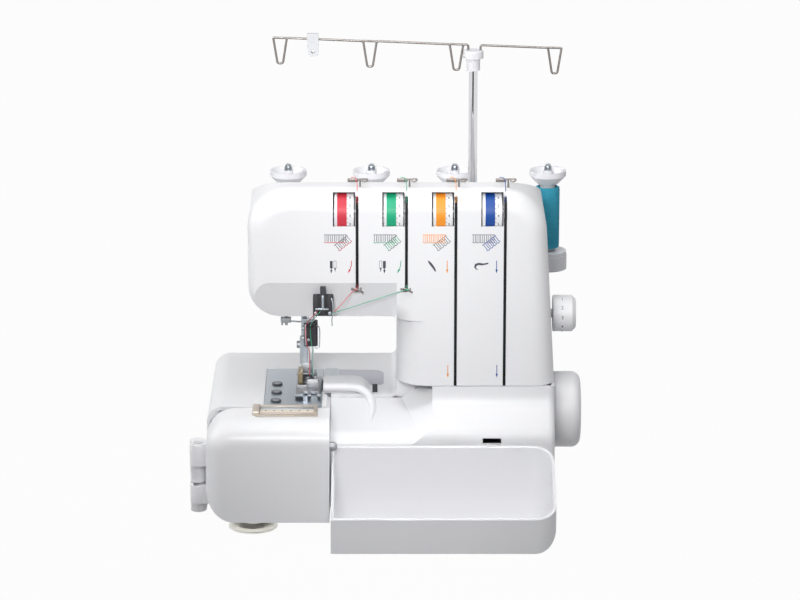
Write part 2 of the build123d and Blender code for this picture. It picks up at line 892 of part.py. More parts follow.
with BuildPart() as needles:
    for x in needle_places:
        rod_z(x, 0, needle_radius, (needle_tip + 3 * needle_radius, (clamp_bottom + clamp_top) / 2))
        with Locations((x, 0, needle_tip + 1.5 * needle_radius)):
            Cone(needle_radius / 4, needle_radius, 3 * needle_radius)
save(needles, "needles")

# Presser bar, spring, shank and foot
foot_bottom = bed_top + seat_gap
foot_top = foot_bottom + foot_sole
foot_left = presser_x - shank_width * 0.9
foot_front = -foot_front_reach

with BuildPart() as presser_bar:
    block((presser_x - shank_width / 2, presser_x + shank_width / 2),
          (needle_slot, presser_y + shank_width / 2),
          (shank_bottom, shank_top))
    fillet(presser_bar.edges().filter_by(Axis.Z), shank_width / 6)
    rod_z(presser_x, presser_y, presser_bar_radius, (shank_top, presser_bar_top))
save(presser_bar, "presser_bar")

with BuildPart() as presser_spring:
    rod_z(presser_x, presser_y, presser_bar_radius * 2, (arm_top, presser_bar_top - presser_bar_radius))
    rod_z(presser_x, presser_y, presser_bar_radius + seat_gap, (arm_top, presser_bar_top),
          mode=Mode.SUBTRACT)
save(presser_spring, "presser_spring")

with BuildPart() as presser_foot:
    block((foot_left, foot_left + foot_width), (foot_front, foot_front + foot_length),
          (foot_bottom, foot_top))
    chamfer(presser_foot.edges().group_by(Axis.Y)[0].sort_by(Axis.Z)[0], foot_sole * 0.6)
    block((presser_x - shank_width / 3, presser_x + shank_width / 3), (needle_slot, presser_y),
          (foot_top, shank_bottom))
    block((needle_x - needle_slot / 2, needle_x + needle_slot / 2), (-needle_slot / 2, needle_slot / 2),
          (foot_bottom - 1, foot_top + 1), mode=Mode.SUBTRACT)
save(presser_foot, "presser_foot")

with BuildPart() as lifter_lever:
    rod_y(lifter_x, lifter_z, lifter_shaft_radius, (frame_front + 2 * wall, casing_back + wall))
    rod_y(lifter_x, lifter_z, 2 * lifter_shaft_radius, (casing_back + seat_gap, casing_back + 3 * wall))
    block((lifter_x - lifter_arm, lifter_x), (casing_back + seat_gap, casing_back + 2 * wall),
          (lifter_z - lifter_shaft_radius, lifter_z + lifter_shaft_radius))
    rod_y(lifter_x - lifter_arm, lifter_z, 1.6 * lifter_shaft_radius,
          (casing_back + seat_gap, casing_back + 3 * wall))
save(lifter_lever, "lifter_lever")

# Needle plate, front insert, screws and seam guide
tooth_rows = [needle_x - tooth_row_offset, needle_x + tooth_row_offset]
feed_slot = (feed_front - feed_travel, feed_back + feed_travel)


def plate_openings():
    """Openings for the needles and for the two rows of feed teeth."""
    block((needle_x - needle_slot / 2, needle_x + needle_slot / 2), (-needle_slot / 4, needle_slot / 4),
          (plate_bottom - 1, bed_top + 1), mode=Mode.SUBTRACT)
    for x in tooth_rows:
        block((x - tooth_row_width, x + tooth_row_width), feed_slot, (plate_bottom - 1, bed_top + 1),
              mode=Mode.SUBTRACT)


with BuildPart() as needle_plate:
    block((plate_left, plate_right), (plate_split, plate_back), (plate_bottom, bed_top))
    plate_openings()
save(needle_plate, "needle_plate")

with BuildPart() as plate_insert:
    block((plate_left, plate_right), (bed_front, plate_split - seat_gap), (plate_bottom, bed_top))
    plate_openings()
save(plate_insert, "plate_insert")

screw_x = plate_left + 2.4 * plate_screw_radius
screw_places = [(screw_x, plate_split + step * plate_screw_pitch) for step in (1, 0.1, -0.8)]

with BuildPart() as seam_guide:
    block((guide_left, guide_right), (guide_front, bed_front - side_opening),
          (bed_top, bed_top + guide_thickness))
    block((guide_left, guide_right), (guide_front, guide_front + guide_thickness),
          (bed_top, bed_top + guide_fence))
save(seam_guide, "seam_guide")

# Feed dog, loopers and knives
feed_block_top = feed_block_bottom + feed_block_height

with BuildPart() as feed_dog:
    block((feed_post[0], feed_post[1] + wall), (feed_front, feed_back),
          (feed_block_bottom, feed_block_top))
    for x in tooth_rows:
        block((x - tooth_row_width / 2, x + tooth_row_width / 2), (feed_front, feed_back),
              (feed_block_top - 1, bed_top - feed_rise))
    block((needle_x - needle_slot / 2, needle_x + needle_slot / 2), (-needle_slot / 4, needle_slot / 4),
          (feed_block_bottom - 1, bed_top), mode=Mode.SUBTRACT)
save(feed_dog, "feed_dog")


def looper(x, z, front, reach, rise):
    """A swinging arm with a boss at its pivot and a hooked tip."""
    rod_y(x, z, looper_boss, (front, front + looper_thickness))
    tip = x + reach
    arm = [(x, z - looper_pin_radius), (x, z + looper_pin_radius * 2), (tip, z + rise),
           (tip, z + rise - looper_thickness)]
    prism_y(arm, (front, front + looper_thickness))
    rod_y(x, z, looper_pin_radius + running_gap, (front - 1, front + looper_thickness + 1),
          mode=Mode.SUBTRACT)


with BuildPart() as upper_looper:
    looper(upper_looper_x, upper_looper_z, upper_looper_front, -upper_looper_reach, upper_looper_rise)
save(upper_looper, "upper_looper")

with BuildPart() as lower_looper:
    looper(lower_looper_x, lower_looper_z, lower_looper_front, lower_looper_reach, lower_looper_rise)
save(lower_looper, "lower_looper")

with BuildPart() as upper_knife:
    block((knife_left, knife_left + knife_thickness), (knife_front, post_depth[0] - seat_gap),
          (knife_bottom, knife_top))
    chamfer(upper_knife.edges().group_by(Axis.Y)[0].filter_by(Axis.X).sort_by(Axis.Z)[0],
            2 * knife_thickness)
save(upper_knife, "upper_knife")

with BuildPart() as lower_knife:
    block((plate_right + cover_gap, knife_left - seat_gap), (knife_front, -seat_gap),
          (plate_bottom - 3 * knife_thickness, plate_bottom))
save(lower_knife, "lower_knife")


# Arched guard over the knives, standing on the bed
guard_rim = [
    (guard_left, guard_top - guard_thickness),
    (guard_left, guard_top),
    (guard_right - guard_bend, guard_top),
    (guard_right, bed_top),
    (guard_right - guard_thickness, bed_top),
    (guard_right - guard_bend - guard_thickness / 2, guard_top - guard_thickness),
]

with BuildPart() as knife_guard:
    with BuildSketch(Plane.XZ.offset(-guard_back)):
        with BuildLine():
            FilletPolyline(*guard_rim, radius=[1, 1, guard_bend, 0, 0, guard_bend / 2], close=True)
        make_face()
    extrude(amount=guard_back - works_front)
save(knife_guard, "knife_guard")

# Thread guides on the head
with BuildPart() as take_up_block:
    block((take_up_left, take_up_right), (take_up_front, casing_front + chin_depth),
          (take_up_bottom, take_up_top))
    fillet(take_up_block.edges().group_by(Axis.Y)[0], 2)
    add(casing_outside, mode=Mode.SUBTRACT)
save(take_up_block, "take_up_block")

with BuildPart() as guide_bracket:
    block((bracket_left, bracket_right), (-clamp_size, -clamp_size / 3),
          (head_bottom - bracket_drop, head_bottom))
    rod_x(-clamp_size * 0.6, head_bottom - bracket_drop + 2 * guide_wire_radius, guide_wire_radius,
          (bracket_right, needle_x - clamp_size / 2))
save(guide_bracket, "guide_bracket")

hook_y = casing_front - 2.5 * guide_wire_radius
hook_z = short_slit_bottom + slit_width

with BuildPart() as thread_guides:
    for slit in slits:
        rod_z(slit + slit_width, top_guide_y, guide_wire_radius,
              (casing_top, casing_top + top_guide_rise))
        rod_x(top_guide_y, casing_top + top_guide_rise + guide_wire_radius, guide_wire_radius,
              (slit - guide_bar_length / 2, slit + guide_bar_length / 2))
    for slit in slits[:2]:
        for side in (-1, 1):
            rod_y(slit + side * 2 * slit_width, hook_z, guide_wire_radius * 0.7, (hook_y, casing_front))
        rod_x(hook_y, hook_z, guide_wire_radius, (slit - 3 * slit_width, slit + 3 * slit_width))
save(thread_guides, "thread_guides")


def straight_tube(start, end, radius):
    """A round bar between two points."""
    with BuildLine(mode=Mode.PRIVATE) as run:
        Line(start, end)
    with BuildSketch(Plane(run.line @ 0, z_dir=run.line % 0)) as section:
        Circle(radius)
    sweep(section.sketch, path=run.line)


thread_y = hook_y - guide_wire_radius - thread_radius - running_gap

with BuildPart() as needle_threads:
    for number, slit in enumerate(slits[:2]):
        eye = take_up_top - 2 * slit_width - number * slit_width
        straight_tube((slit, thread_y, hook_z),
                      (take_up_right - 1, take_up_front - 2 * thread_radius, eye), thread_radius)
save(needle_threads, "needle_threads")

# Tension shaft, discs and dials
with BuildPart() as tension_shaft:
    rod_x(dial_y, dial_height, tension_shaft_radius,
          (dial_right[0] - dial_width - bracket_width, slits[-1] + bracket_offset + 2 * bracket_width))
    for slit in slits:
        for side in (-1, 1):
            near = slit + side * tension_disc_gap
            far = slit + side * (tension_disc_gap + tension_disc_thickness)
            rod_x(dial_y, dial_height, tension_disc_radius, (min(near, far), max(near, far)))
save(tension_shaft, "tension_shaft")

for right, name in zip(dial_right, thread_names):
    with BuildPart() as tension_dial:
        rod_x(dial_y, dial_height, dial_radius, (right - dial_width, right))
        chamfer(tension_dial.edges().filter_by(GeomType.CIRCLE), 0.6)
        rod_x(dial_y, dial_height, tension_shaft_radius + running_gap,
              (right - dial_width - 1, right + 1), mode=Mode.SUBTRACT)
    save(tension_dial, f"tension_dial_{name}")

# Stitch length dial
stitch_dial_left = casing_right + cover_gap

with BuildPart() as stitch_dial:
    rod_x(shaft_y, stitch_dial_z, stitch_dial_radius,
          (stitch_dial_left, stitch_dial_left + stitch_dial_width))
    chamfer(stitch_dial.edges().group_by(Axis.X)[-1], stitch_dial_width / 6)
    rod_x(shaft_y, stitch_dial_z, stitch_shaft_radius,
          (stitch_dial_left - stitch_dial_width, stitch_dial_left))
save(stitch_dial, "stitch_dial")

# Power inlet and switch on the right wall
with BuildPart() as power_inlet:
    block((base_right - inlet_depth, base_right), (inlet_span[0] + seat_gap, inlet_span[1] - seat_gap),
          (inlet_rise[0] + seat_gap, inlet_rise[1] - seat_gap))
    block((base_right - inlet_depth + wall, base_right + 1),
          (inlet_span[0] + wall, inlet_span[1] - wall),
          (inlet_rise[0] + wall, inlet_rise[1] - wall), mode=Mode.SUBTRACT)
save(power_inlet, "power_inlet")

with BuildPart() as switch_rocker:
    block((base_right - switch_depth, base_right + 1),
          (switch_span[0] + cover_gap, switch_span[1] - cover_gap),
          (switch_rise[0] + swing_gap, switch_rise[1] - swing_gap))
    rod_y(rocker_x, switch_z, trunnion_radius,
          (switch_span[0] - trunnion_length, switch_span[1] + trunnion_length))
save(switch_rocker, "switch_rocker")

# Lamp under the head
with BuildPart() as lamp:
    block((lamp_left + seat_gap, lamp_right - seat_gap), (seat_gap, lamp_depth - seat_gap),
          (head_bottom, head_bottom + wall))
save(lamp, "lamp")

# Screws of the rear casing
rear_screws = [
    (lifter_x + rear_screw_drop, roof_back - rear_screw_drop),
    (casing_right - rear_screw_inset, roof_back - rear_screw_drop),
    (neck_left + rear_screw_drop, seam_height + rear_screw_rise),
    (casing_right - rear_screw_drop, seam_height + rear_screw_rise),
]

with BuildPart() as screws:
    for x, z in rear_screws:
        rod_y(x, z, plate_screw_radius, (casing_back, casing_back + plate_screw_height))
    for x, y in screw_places:
        rod_z(x, y, plate_screw_radius, (bed_top, bed_top + plate_screw_height))
        block((x - plate_screw_radius, x + plate_screw_radius), (y - seat_gap, y + seat_gap),
              (bed_top + plate_screw_height / 2, bed_top + 1 + plate_screw_height), mode=Mode.SUBTRACT)
save(screws, "screws")

# Spool stand with its pins, pads and caps
stand_bottom = stand_top - stand_thickness

with BuildPart() as spool_stand:
    block((spools[0], spools[-1]), (spool_y - stand_half_depth, spool_y + stand_half_depth),
          (stand_bottom, stand_top))
    for x in (spools[0], spools[-1]):
        rod_z(x, spool_y, stand_half_depth, (stand_bottom, stand_top))
    block((stand_web_left, stand_web_right), (casing_back, spool_y), (stand_bottom, stand_top))
    rod_z(pole_x, pole_y, outer_pole_radius, (stand_bottom - 1, stand_top + 1), mode=Mode.SUBTRACT)
    for x in spools:
        rod_z(x, spool_y, stand_half_depth - cover_gap, (stand_top, stand_top + pad_height))
        rod_z(x, spool_y, spool_pin_radius, (stand_top, stand_top + pad_height + 1), mode=Mode.SUBTRACT)
save(spool_stand, "spool_stand")

with BuildPart() as spool_pins:
    for x in spools:
        rod_z(x, spool_y, spool_pin_radius, (stand_top, spool_pin_top))
    fillet(spool_pins.edges().group_by(Axis.Z)[-1], spool_pin_radius * 0.8)
save(spool_pins, "spool_pins")

cap_bore = spool_pin_radius + running_gap
cap_outline = [
    (cap_bore, cap_bottom),
    (cap_foot_radius, cap_bottom),
    (cap_rim_radius, cap_bottom + cap_height * 0.6),
    (cap_rim_radius, cap_bottom + cap_height),
    (cap_rim_radius - cap_wall, cap_bottom + cap_height),
    (cap_foot_radius, cap_bottom + cap_height / 2),
    (cap_bore + cap_wall, cap_bottom + cap_height / 2),
    (cap_bore + cap_wall, cap_bottom + cap_height),
    (cap_bore, cap_bottom + cap_height),
]


def cap_at(x):
    """The dished cap on one pin."""
    with BuildPart() as cap:
        with BuildSketch(Plane.XZ.offset(-spool_y)):
            with BuildLine():
                Polyline(*[(x + radius, z) for radius, z in cap_outline], close=True)
            make_face()
        revolve(axis=Axis((x, spool_y, 0), (0, 0, 1)))
    return cap.part


with BuildPart() as idle_caps:
    for x in spools[:-1]:
        add(cap_at(x))
save(idle_caps, "idle_caps")

with BuildPart() as spool_cap:
    add(cap_at(spools[-1]))
save(spool_cap, "spool_cap")

# Spool with one wound outer layer over a plain core of thread
core_bottom = stand_top + pad_height + seat_gap
core_top = cap_bottom - cover_gap
pack_bottom = core_bottom + thread_margin
pack_top = core_top - thread_margin
winding_radius = thread_core_radius + thread_lay_gap + thread_wire_radius
winding_bottom = pack_bottom + thread_wire_radius
winding_pitch = (pack_top - pack_bottom - 2 * thread_wire_radius) / thread_turns

with BuildPart() as spool_core:
    rod_z(spools[-1], spool_y, core_radius, (core_bottom, core_top))
    rod_z(spools[-1], spool_y, spool_pin_radius + running_gap, (core_bottom, core_top),
          mode=Mode.SUBTRACT)
save(spool_core, "spool_core")

with BuildPart() as thread_pack:
    rod_z(spools[-1], spool_y, thread_core_radius, (pack_bottom, pack_top))
    rod_z(spools[-1], spool_y, core_radius, (pack_bottom, pack_top), mode=Mode.SUBTRACT)
save(thread_pack, "thread_pack")


def winding_point(turn):
    """Centre of the wound tube after so many turns."""
    angle = 2 * pi * turn
    x = spools[-1] + winding_radius * cos(angle)
    y = spool_y + winding_radius * sin(angle)
    return Vector(x, y, winding_bottom + winding_pitch * turn)


def winding_heading(turn):
    """Direction of the wound tube after so many turns."""
    angle = 2 * pi * turn
    circle = 2 * pi * winding_radius
    return Vector(-circle * sin(angle), circle * cos(angle), winding_pitch).normalized()


def biarc(start, heading, end, end_heading):
    """Two arcs that leave and arrive along the given directions."""
    chord = end - start
    total = heading + end_heading
    spread = 2 * (1 - heading.dot(end_heading))
    along = chord.dot(total)
    reach = (sqrt(along * along + spread * chord.dot(chord)) - along) / spread
    first = start + heading * reach
    second = end - end_heading * reach
    middle = (first + second) * 0.5
    TangentArc(start, middle, tangent=heading)
    TangentArc(middle, end, tangent=(second - first).normalized())


half_turns = [number / 2 for number in range(2 * thread_turns + 1)]
tail = 2 * thread_wire_radius

with BuildLine() as winding_path:
    start = winding_point(half_turns[0])
    Line(start - winding_heading(half_turns[0]) * tail, start)
    for turn, next_turn in zip(half_turns, half_turns[1:]):
        biarc(winding_point(turn), winding_heading(turn), winding_point(next_turn),
              winding_heading(next_turn))
    end = winding_point(half_turns[-1])
    Line(end, end + winding_heading(half_turns[-1]) * tail)

with BuildPart() as thread_winding:
    with BuildSketch(Plane(winding_path.line @ 0, z_dir=winding_path.line % 0)):
        Circle(thread_wire_radius)
    sweep(path=winding_path.line)
save(thread_winding, "thread_winding")

steps = 48
ring = [winding_point(step / steps) for step in range(3 * steps)]
least = min((a - b).length for i, a in enumerate(ring) for b in ring[i + steps // 2:])
print(f"thread winding: least gap to itself {least - 2 * thread_wire_radius:.2f} mm")

# Telescopic pole with its cap, wire tree and clip
with BuildPart() as outer_pole:
    rod_z(pole_x, pole_y, outer_pole_radius, (outer_pole_bottom, outer_pole_top))
    rod_z(pole_x, pole_y, pole_radius + running_gap, (outer_pole_bottom - 1, outer_pole_top + 1),
          mode=Mode.SUBTRACT)
save(outer_pole, "outer_pole")

collar_bottom = inner_pole_top - collar_length

with BuildPart() as inner_pole:
    rod_z(pole_x, pole_y, pole_radius, (inner_pole_bottom, inner_pole_top))
save(inner_pole, "inner_pole")

with BuildPart() as guide_cap:
    rod_z(pole_x, pole_y, collar_radius, (collar_bottom, inner_pole_top))
    rod_z(pole_x, pole_y, pole_radius, (collar_bottom - 1, inner_pole_top), mode=Mode.SUBTRACT)
    rod_z(pole_x, pole_y, cap_disc_radius, (inner_pole_top, inner_pole_top + cap_disc_height))
    fillet(guide_cap.edges().group_by(Axis.Z)[-1], 1.5)
save(guide_cap, "guide_cap")

tree_root = inner_pole_top + cap_disc_height


def tree_height(x):
    """Height of the sloping wire at a place along X."""
    share = (x - loop_places[0]) / (loop_places[-1] - loop_places[0])
    return tree_root + tree_left_rise + (tree_right_rise - tree_left_rise) * share


def loop_points(place, side):
    """The hanging loop of one guide, walked away from the pole."""
    narrow = loop_half_width * 0.4
    level = tree_height(place)
    return [
        (place - side * loop_half_width, level),
        (place - side * narrow, level - loop_depth),
        (place + side * narrow, level - loop_depth),
        (place + side * loop_half_width, level),
    ]


left_foot = pole_x - cap_disc_radius / 2
right_foot = pole_x + cap_disc_radius * 0.7
branches = [
    (left_foot, -1, loop_places[2::-1]),
    (right_foot, 1, loop_places[3:]),
]

with BuildPart() as guide_tree:
    for foot, side, places in branches:
        points = [(foot, tree_root), (foot, tree_height(foot))]
        for place in places:
            points += loop_points(place, side)
        with BuildLine(mode=Mode.PRIVATE) as wire:
            FilletPolyline(*[(x, pole_y, z) for x, z in points], radius=2 * tree_radius)
        with BuildSketch(Plane(wire.line @ 0, z_dir=wire.line % 0)) as section:
            Circle(tree_radius)
        sweep(section.sketch, path=wire.line)
save(guide_tree, "guide_tree")

with BuildPart() as wire_clip:
    level = tree_height(clip_x)
    block((clip_x - clip_width / 2, clip_x + clip_width / 2),
          (pole_y - clip_depth / 2, pole_y + clip_depth / 2),
          (level - clip_below, level + clip_above))
    fillet(wire_clip.edges().filter_by(Axis.Y).group_by(Axis.Z)[0], clip_width * 0.4)
    rod_x(pole_y, level, tree_radius + seat_gap, (clip_x - clip_width, clip_x + clip_width),
          mode=Mode.SUBTRACT)
    rod_y(clip_x, level - clip_below * 0.7, 2 * tree_radius, (pole_y - clip_depth, pole_y + clip_depth),
          mode=Mode.SUBTRACT)
save(wire_clip, "wire_clip")
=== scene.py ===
from math import cos, pi, radians, sin

import bmesh
import bpy
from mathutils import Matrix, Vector


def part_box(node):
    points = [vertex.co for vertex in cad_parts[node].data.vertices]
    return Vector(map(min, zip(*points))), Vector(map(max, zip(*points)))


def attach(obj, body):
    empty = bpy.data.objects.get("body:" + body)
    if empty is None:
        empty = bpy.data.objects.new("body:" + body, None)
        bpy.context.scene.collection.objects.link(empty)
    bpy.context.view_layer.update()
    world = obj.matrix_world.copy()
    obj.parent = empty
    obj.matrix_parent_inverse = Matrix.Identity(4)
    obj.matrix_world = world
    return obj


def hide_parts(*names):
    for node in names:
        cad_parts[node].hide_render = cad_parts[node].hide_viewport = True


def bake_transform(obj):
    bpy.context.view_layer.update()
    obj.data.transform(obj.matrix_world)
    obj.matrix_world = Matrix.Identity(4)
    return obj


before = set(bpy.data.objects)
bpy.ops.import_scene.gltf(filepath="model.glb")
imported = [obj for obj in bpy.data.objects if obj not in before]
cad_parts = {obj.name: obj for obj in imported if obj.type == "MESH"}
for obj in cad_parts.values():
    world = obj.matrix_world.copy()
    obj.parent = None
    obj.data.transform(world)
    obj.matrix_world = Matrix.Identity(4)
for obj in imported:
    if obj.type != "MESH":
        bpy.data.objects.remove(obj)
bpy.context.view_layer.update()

bl_info = {
    "name": "Serger",
    "version": (1, 0, 0),
    "blender": (4, 5, 0),
    "location": "3D View > Sidebar > Serger",
    "description": "Dresses a packed serger with threads, dial scales, marks and finishes",
    "category": "Object",
}

MM = 0.001
COLOURS = ("red", "green", "orange", "blue")  # the first two lead to the needles, the others to the loopers
NEEDLES = 2

# Places in millimetres that several steps share
SLIT_OFFSET = 2.6  # from a dial's right end to the middle of its slit
NEEDLE_SLIT_END, LOOPER_SLIT_END, SLIT_TOP = 207.0, 116.8, 279.0
THREAD_DEPTH = 7.4  # of a thread in its slit, behind the front
GUIDE_Y = -36.0  # posts of the top guides
GUIDE_DROP = 0.8  # from the top of the guides to the middle of their wire
HOOK_HEIGHT = 203.6  # lower guides of the needle threads
PRINT = 0.12  # thickness of printed marks
FIGURE_DEPTH = 0.1  # half the thickness of a figure
PINS = (-89.5, -14.5, 60.5, 144.5)  # spool pins along X
LOOPS = (-95.0, -15.5, 61.0, 148.0)  # loops of the wire tree along X

# Grain that all finishes share
BROAD_SCALE = 14.0
GLOSS_SPREAD = 0.2


# Shared tools

def node_box(node):
    """The lowest and highest corners of a CAD node, in millimetres."""
    low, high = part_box(node)
    return Vector(low) / MM, Vector(high) / MM


def slit_place(name):
    """The middle along X of a dial's thread slit."""
    return node_box(f"tension_dial_{name}")[1].x + SLIT_OFFSET


def plug(tree, node, inputs):
    """Set a node's inputs, by name or number, to values or link them to sockets."""
    for key, value in inputs.items():
        if isinstance(value, bpy.types.NodeSocket):
            tree.links.new(value, node.inputs[key])
        else:
            node.inputs[key].default_value = value


def add_node(tree, kind, inputs, **settings):
    """A new node with its settings and inputs."""
    node = tree.nodes.new(kind)
    for key, value in settings.items():
        setattr(node, key, value)
    plug(tree, node, inputs)
    return node


def reckon(tree, operation, first, second):
    """A Math node's result from sockets and numbers."""
    return add_node(tree, "ShaderNodeMath", {0: first, 1: second}, operation=operation).outputs["Value"]


def mix_shaders(tree, factor, first, second, output):
    """Lead a mix of two shaders to an output node."""
    blend = add_node(tree, "ShaderNodeMixShader", {"Fac": factor, 1: first, 2: second})
    plug(tree, tree.nodes[output], {"Surface": blend.outputs["Shader"]})


def finish(name, colour, roughness, metallic=0.0, grain=600.0, bump=0.05, mottle=0.03, coat=0.0,
           sheen=0.0, stretch=(1.0, 1.0, 1.0), see_through=0.0, grain_depth=0.0002):
    """A material whose tone, gloss and relief vary with a fine grain on Object coordinates."""
    material = bpy.data.materials.new(name)
    material.use_nodes = True
    tree = material.node_tree
    place = tree.nodes.new("ShaderNodeTexCoord").outputs["Object"]
    scaled = add_node(tree, "ShaderNodeMapping", {"Vector": place, "Scale": stretch}).outputs["Vector"]
    grains = add_node(tree, "ShaderNodeTexNoise", {"Vector": scaled, "Scale": grain, "Detail": 4.0})
    fine = grains.outputs["Fac"]
    broad = add_node(tree, "ShaderNodeTexNoise", {"Vector": place, "Scale": BROAD_SCALE, "Detail": 2.0})
    tone = add_node(tree, "ShaderNodeMix", {
        "Factor": broad.outputs["Fac"],
        "A": [part * (1.0 - mottle) for part in colour[:3]] + [1.0],
        "B": [min(1.0, part * (1.0 + mottle)) for part in colour[:3]] + [1.0],
    }, data_type="RGBA")
    gloss = add_node(tree, "ShaderNodeMapRange", {
        "Value": fine,
        "To Min": roughness * (1.0 - GLOSS_SPREAD),
        "To Max": min(1.0, roughness * (1.0 + GLOSS_SPREAD)),
    })
    relief = add_node(tree, "ShaderNodeBump", {"Height": fine, "Strength": bump, "Distance": grain_depth})
    plug(tree, tree.nodes["Principled BSDF"], {
        "Base Color": tone.outputs["Result"],
        "Roughness": gloss.outputs["Result"],
        "Normal": relief.outputs["Normal"],
        "Metallic": metallic,
        "Coat Weight": coat,
        "Sheen Weight": sheen,
        "Transmission Weight": see_through,
    })
    return material


def banded(name, plain, colour, low, high, roughness):
    """A finish with a coloured band between two places along X."""
    material = finish(name, plain, roughness)
    tree = material.node_tree
    shader = tree.nodes["Principled BSDF"]
    place = tree.nodes.new("ShaderNodeTexCoord").outputs["Object"]
    along = add_node(tree, "ShaderNodeSeparateXYZ", {"Vector": place}).outputs["X"]
    above = reckon(tree, "GREATER_THAN", along, low)
    below = reckon(tree, "LESS_THAN", along, high)
    band = add_node(tree, "ShaderNodeMix", {
        "Factor": reckon(tree, "MULTIPLY", above, below),
        "A": shader.inputs["Base Color"].links[0].from_socket,
        "B": list(colour[:3]) + [1.0],
    }, data_type="RGBA")
    plug(tree, shader, {"Base Color": band.outputs["Result"]})
    return material


def dress(material, *names):
    """Give CAD nodes a material."""
    for name in names:
        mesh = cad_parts[name].data
        mesh.materials.clear()
        mesh.materials.append(material)


def placed(name, data):
    """A new object in the scene, at the origin."""
    obj = bpy.data.objects.new(name, data)
    bpy.context.scene.collection.objects.link(obj)
    return obj


def piece(name, bm, look, body="machine", angle=35.0):
    """Turn a bmesh in millimetres into a piece with a finish that rides on a body, if it has one."""
    bmesh.ops.scale(bm, vec=(MM, MM, MM), verts=bm.verts)
    bmesh.ops.recalc_face_normals(bm, faces=bm.faces)
    mesh = bpy.data.meshes.new(name)
    bm.to_mesh(mesh)
    bm.free()
    mesh.polygons.foreach_set("use_smooth", [True] * len(mesh.polygons))
    mesh.set_sharp_from_angle(angle=radians(angle))
    mesh.materials.append(bpy.data.materials[look])
    obj = placed(name, mesh)
    if body:
        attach(obj, body)
    return obj


def tube(bm, points, radius, sides):
    """A round tube through points, closed at both ends, of one radius or one for each point."""
    points = [Vector(point) for point in points]
    reach = radius if isinstance(radius, list) else [radius] * len(points)
    turns = [2 * pi * k / sides for k in range(sides)]
    rings = []
    side = None
    for number, point in enumerate(points):
        before = points[max(number - 1, 0)]
        after = points[min(number + 1, len(points) - 1)]
        along = (after - before).normalized()
        if side is None:
            side = along.orthogonal().normalized()
        side = (side - along * side.dot(along)).normalized()
        other = along.cross(side)
        rings.append([bm.verts.new(point + (side * cos(turn) + other * sin(turn)) * reach[number])
                      for turn in turns])
    for ring, following in zip(rings, rings[1:]):
        for k in range(sides):
            bm.faces.new((ring[k], ring[(k + 1) % sides], following[(k + 1) % sides], following[k]))
    bm.faces.new(rings[0])
    bm.faces.new(rings[-1])


def smooth_path(points, steps):
    """Points of a smooth curve through the given points."""
    points = [Vector(point) for point in points]
    ends = [2 * points[0] - points[1]] + points + [2 * points[-1] - points[-2]]
    path = []
    for a, b, c, d in zip(ends, ends[1:], ends[2:], ends[3:]):
        for step in range(steps):
            t = step / steps
            path.append(0.5 * (2 * b + (c - a) * t + (2 * a - 5 * b + 4 * c - d) * t * t
                               + (3 * b - a - 3 * c + d) * t ** 3))
    path.append(points[-1])
    return path


def wire(bm, points, radius, sides=12, steps=6):
    """A smoothly bent round wire through points."""
    tube(bm, smooth_path(points, steps), radius, sides)


def spin_profile(bm, outline, centre, axis, steps=64):
    """Spin an outline of points round an axis through a centre into a closed skin."""
    verts = [bm.verts.new(point) for point in outline]
    edges = [bm.edges.new(pair) for pair in zip(verts, verts[1:])]
    bmesh.ops.spin(bm, geom=verts + edges, cent=centre, axis=axis, angle=2 * pi, steps=steps, use_merge=True)
    bmesh.ops.remove_doubles(bm, verts=bm.verts, dist=0.001)


def soften(bm, edges, offset, segments=2):
    """Round edges off."""
    bmesh.ops.bevel(bm, geom=edges, offset=offset, offset_type="OFFSET", affect="EDGES", segments=segments,
                    profile=0.5, material=-1)


def bar(bm, low, high, bevel=0.5, segments=2):
    """A box between two corners with softened edges."""
    verts = bmesh.ops.create_cube(bm, size=1.0)["verts"]
    for vert in verts:
        vert.co = [low[k] + (vert.co[k] + 0.5) * (high[k] - low[k]) for k in range(3)]
    soften(bm, list({edge for vert in verts for edge in vert.link_edges}), bevel, segments)


def disc(bm, centre, axis, radius, depth, bevel=0.3, sides=32):
    """A round head along an axis, with a softened outer edge."""
    axis = Vector(axis).normalized()
    side = axis.orthogonal().normalized()
    outline = [(0.0, 0.0), (radius, 0.0), (radius, depth - bevel), (radius - 0.3 * bevel, depth - 0.3 * bevel),
               (radius - bevel, depth), (0.0, depth)]
    points = [Vector(centre) + side * r + axis * d for r, d in outline]
    spin_profile(bm, points, Vector(centre), axis, steps=sides)


def prism(bm, near, far):
    """A solid between two matching outlines."""
    near = [bm.verts.new(point) for point in near]
    far = [bm.verts.new(point) for point in far]
    bm.faces.new(near)
    bm.faces.new(far)
    for k in range(len(near)):
        n = (k + 1) % len(near)
        bm.faces.new((near[k], near[n], far[n], far[k]))


def slab(bm, y, outline, thickness=PRINT):
    """A plate from (x, z) corners, standing out to the front from a depth."""
    prism(bm, [(x, y - thickness, z) for x, z in outline], [(x, y, z) for x, z in outline])


def stroke(bm, y, points, width, thickness=PRINT):
    """A printed line through (x, z) points on the flat front."""
    for (xa, za), (xb, zb) in zip(points, points[1:]):
        run = Vector((xb - xa, zb - za)).normalized() * (width / 2)
        across = Vector((-run.y, run.x))
        start, end = Vector((xa, za)) - run, Vector((xb, zb)) + run
        slab(bm, y, [start + across, end + across, end - across, start - across], thickness)


def figure_mesh(text, height):
    """The mesh of a plain figure, centred, lying in its own XY plane."""
    curve = bpy.data.curves.new("figure", "FONT")
    curve.body = text
    curve.size = height
    curve.align_x = "CENTER"
    curve.align_y = "CENTER"
    curve.extrude = FIGURE_DEPTH
    curve.resolution_u = 2
    holder = placed("figure", curve)
    bpy.context.view_layer.update()
    mesh = bpy.data.meshes.new_from_object(holder)
    bpy.data.objects.remove(holder)
    return mesh


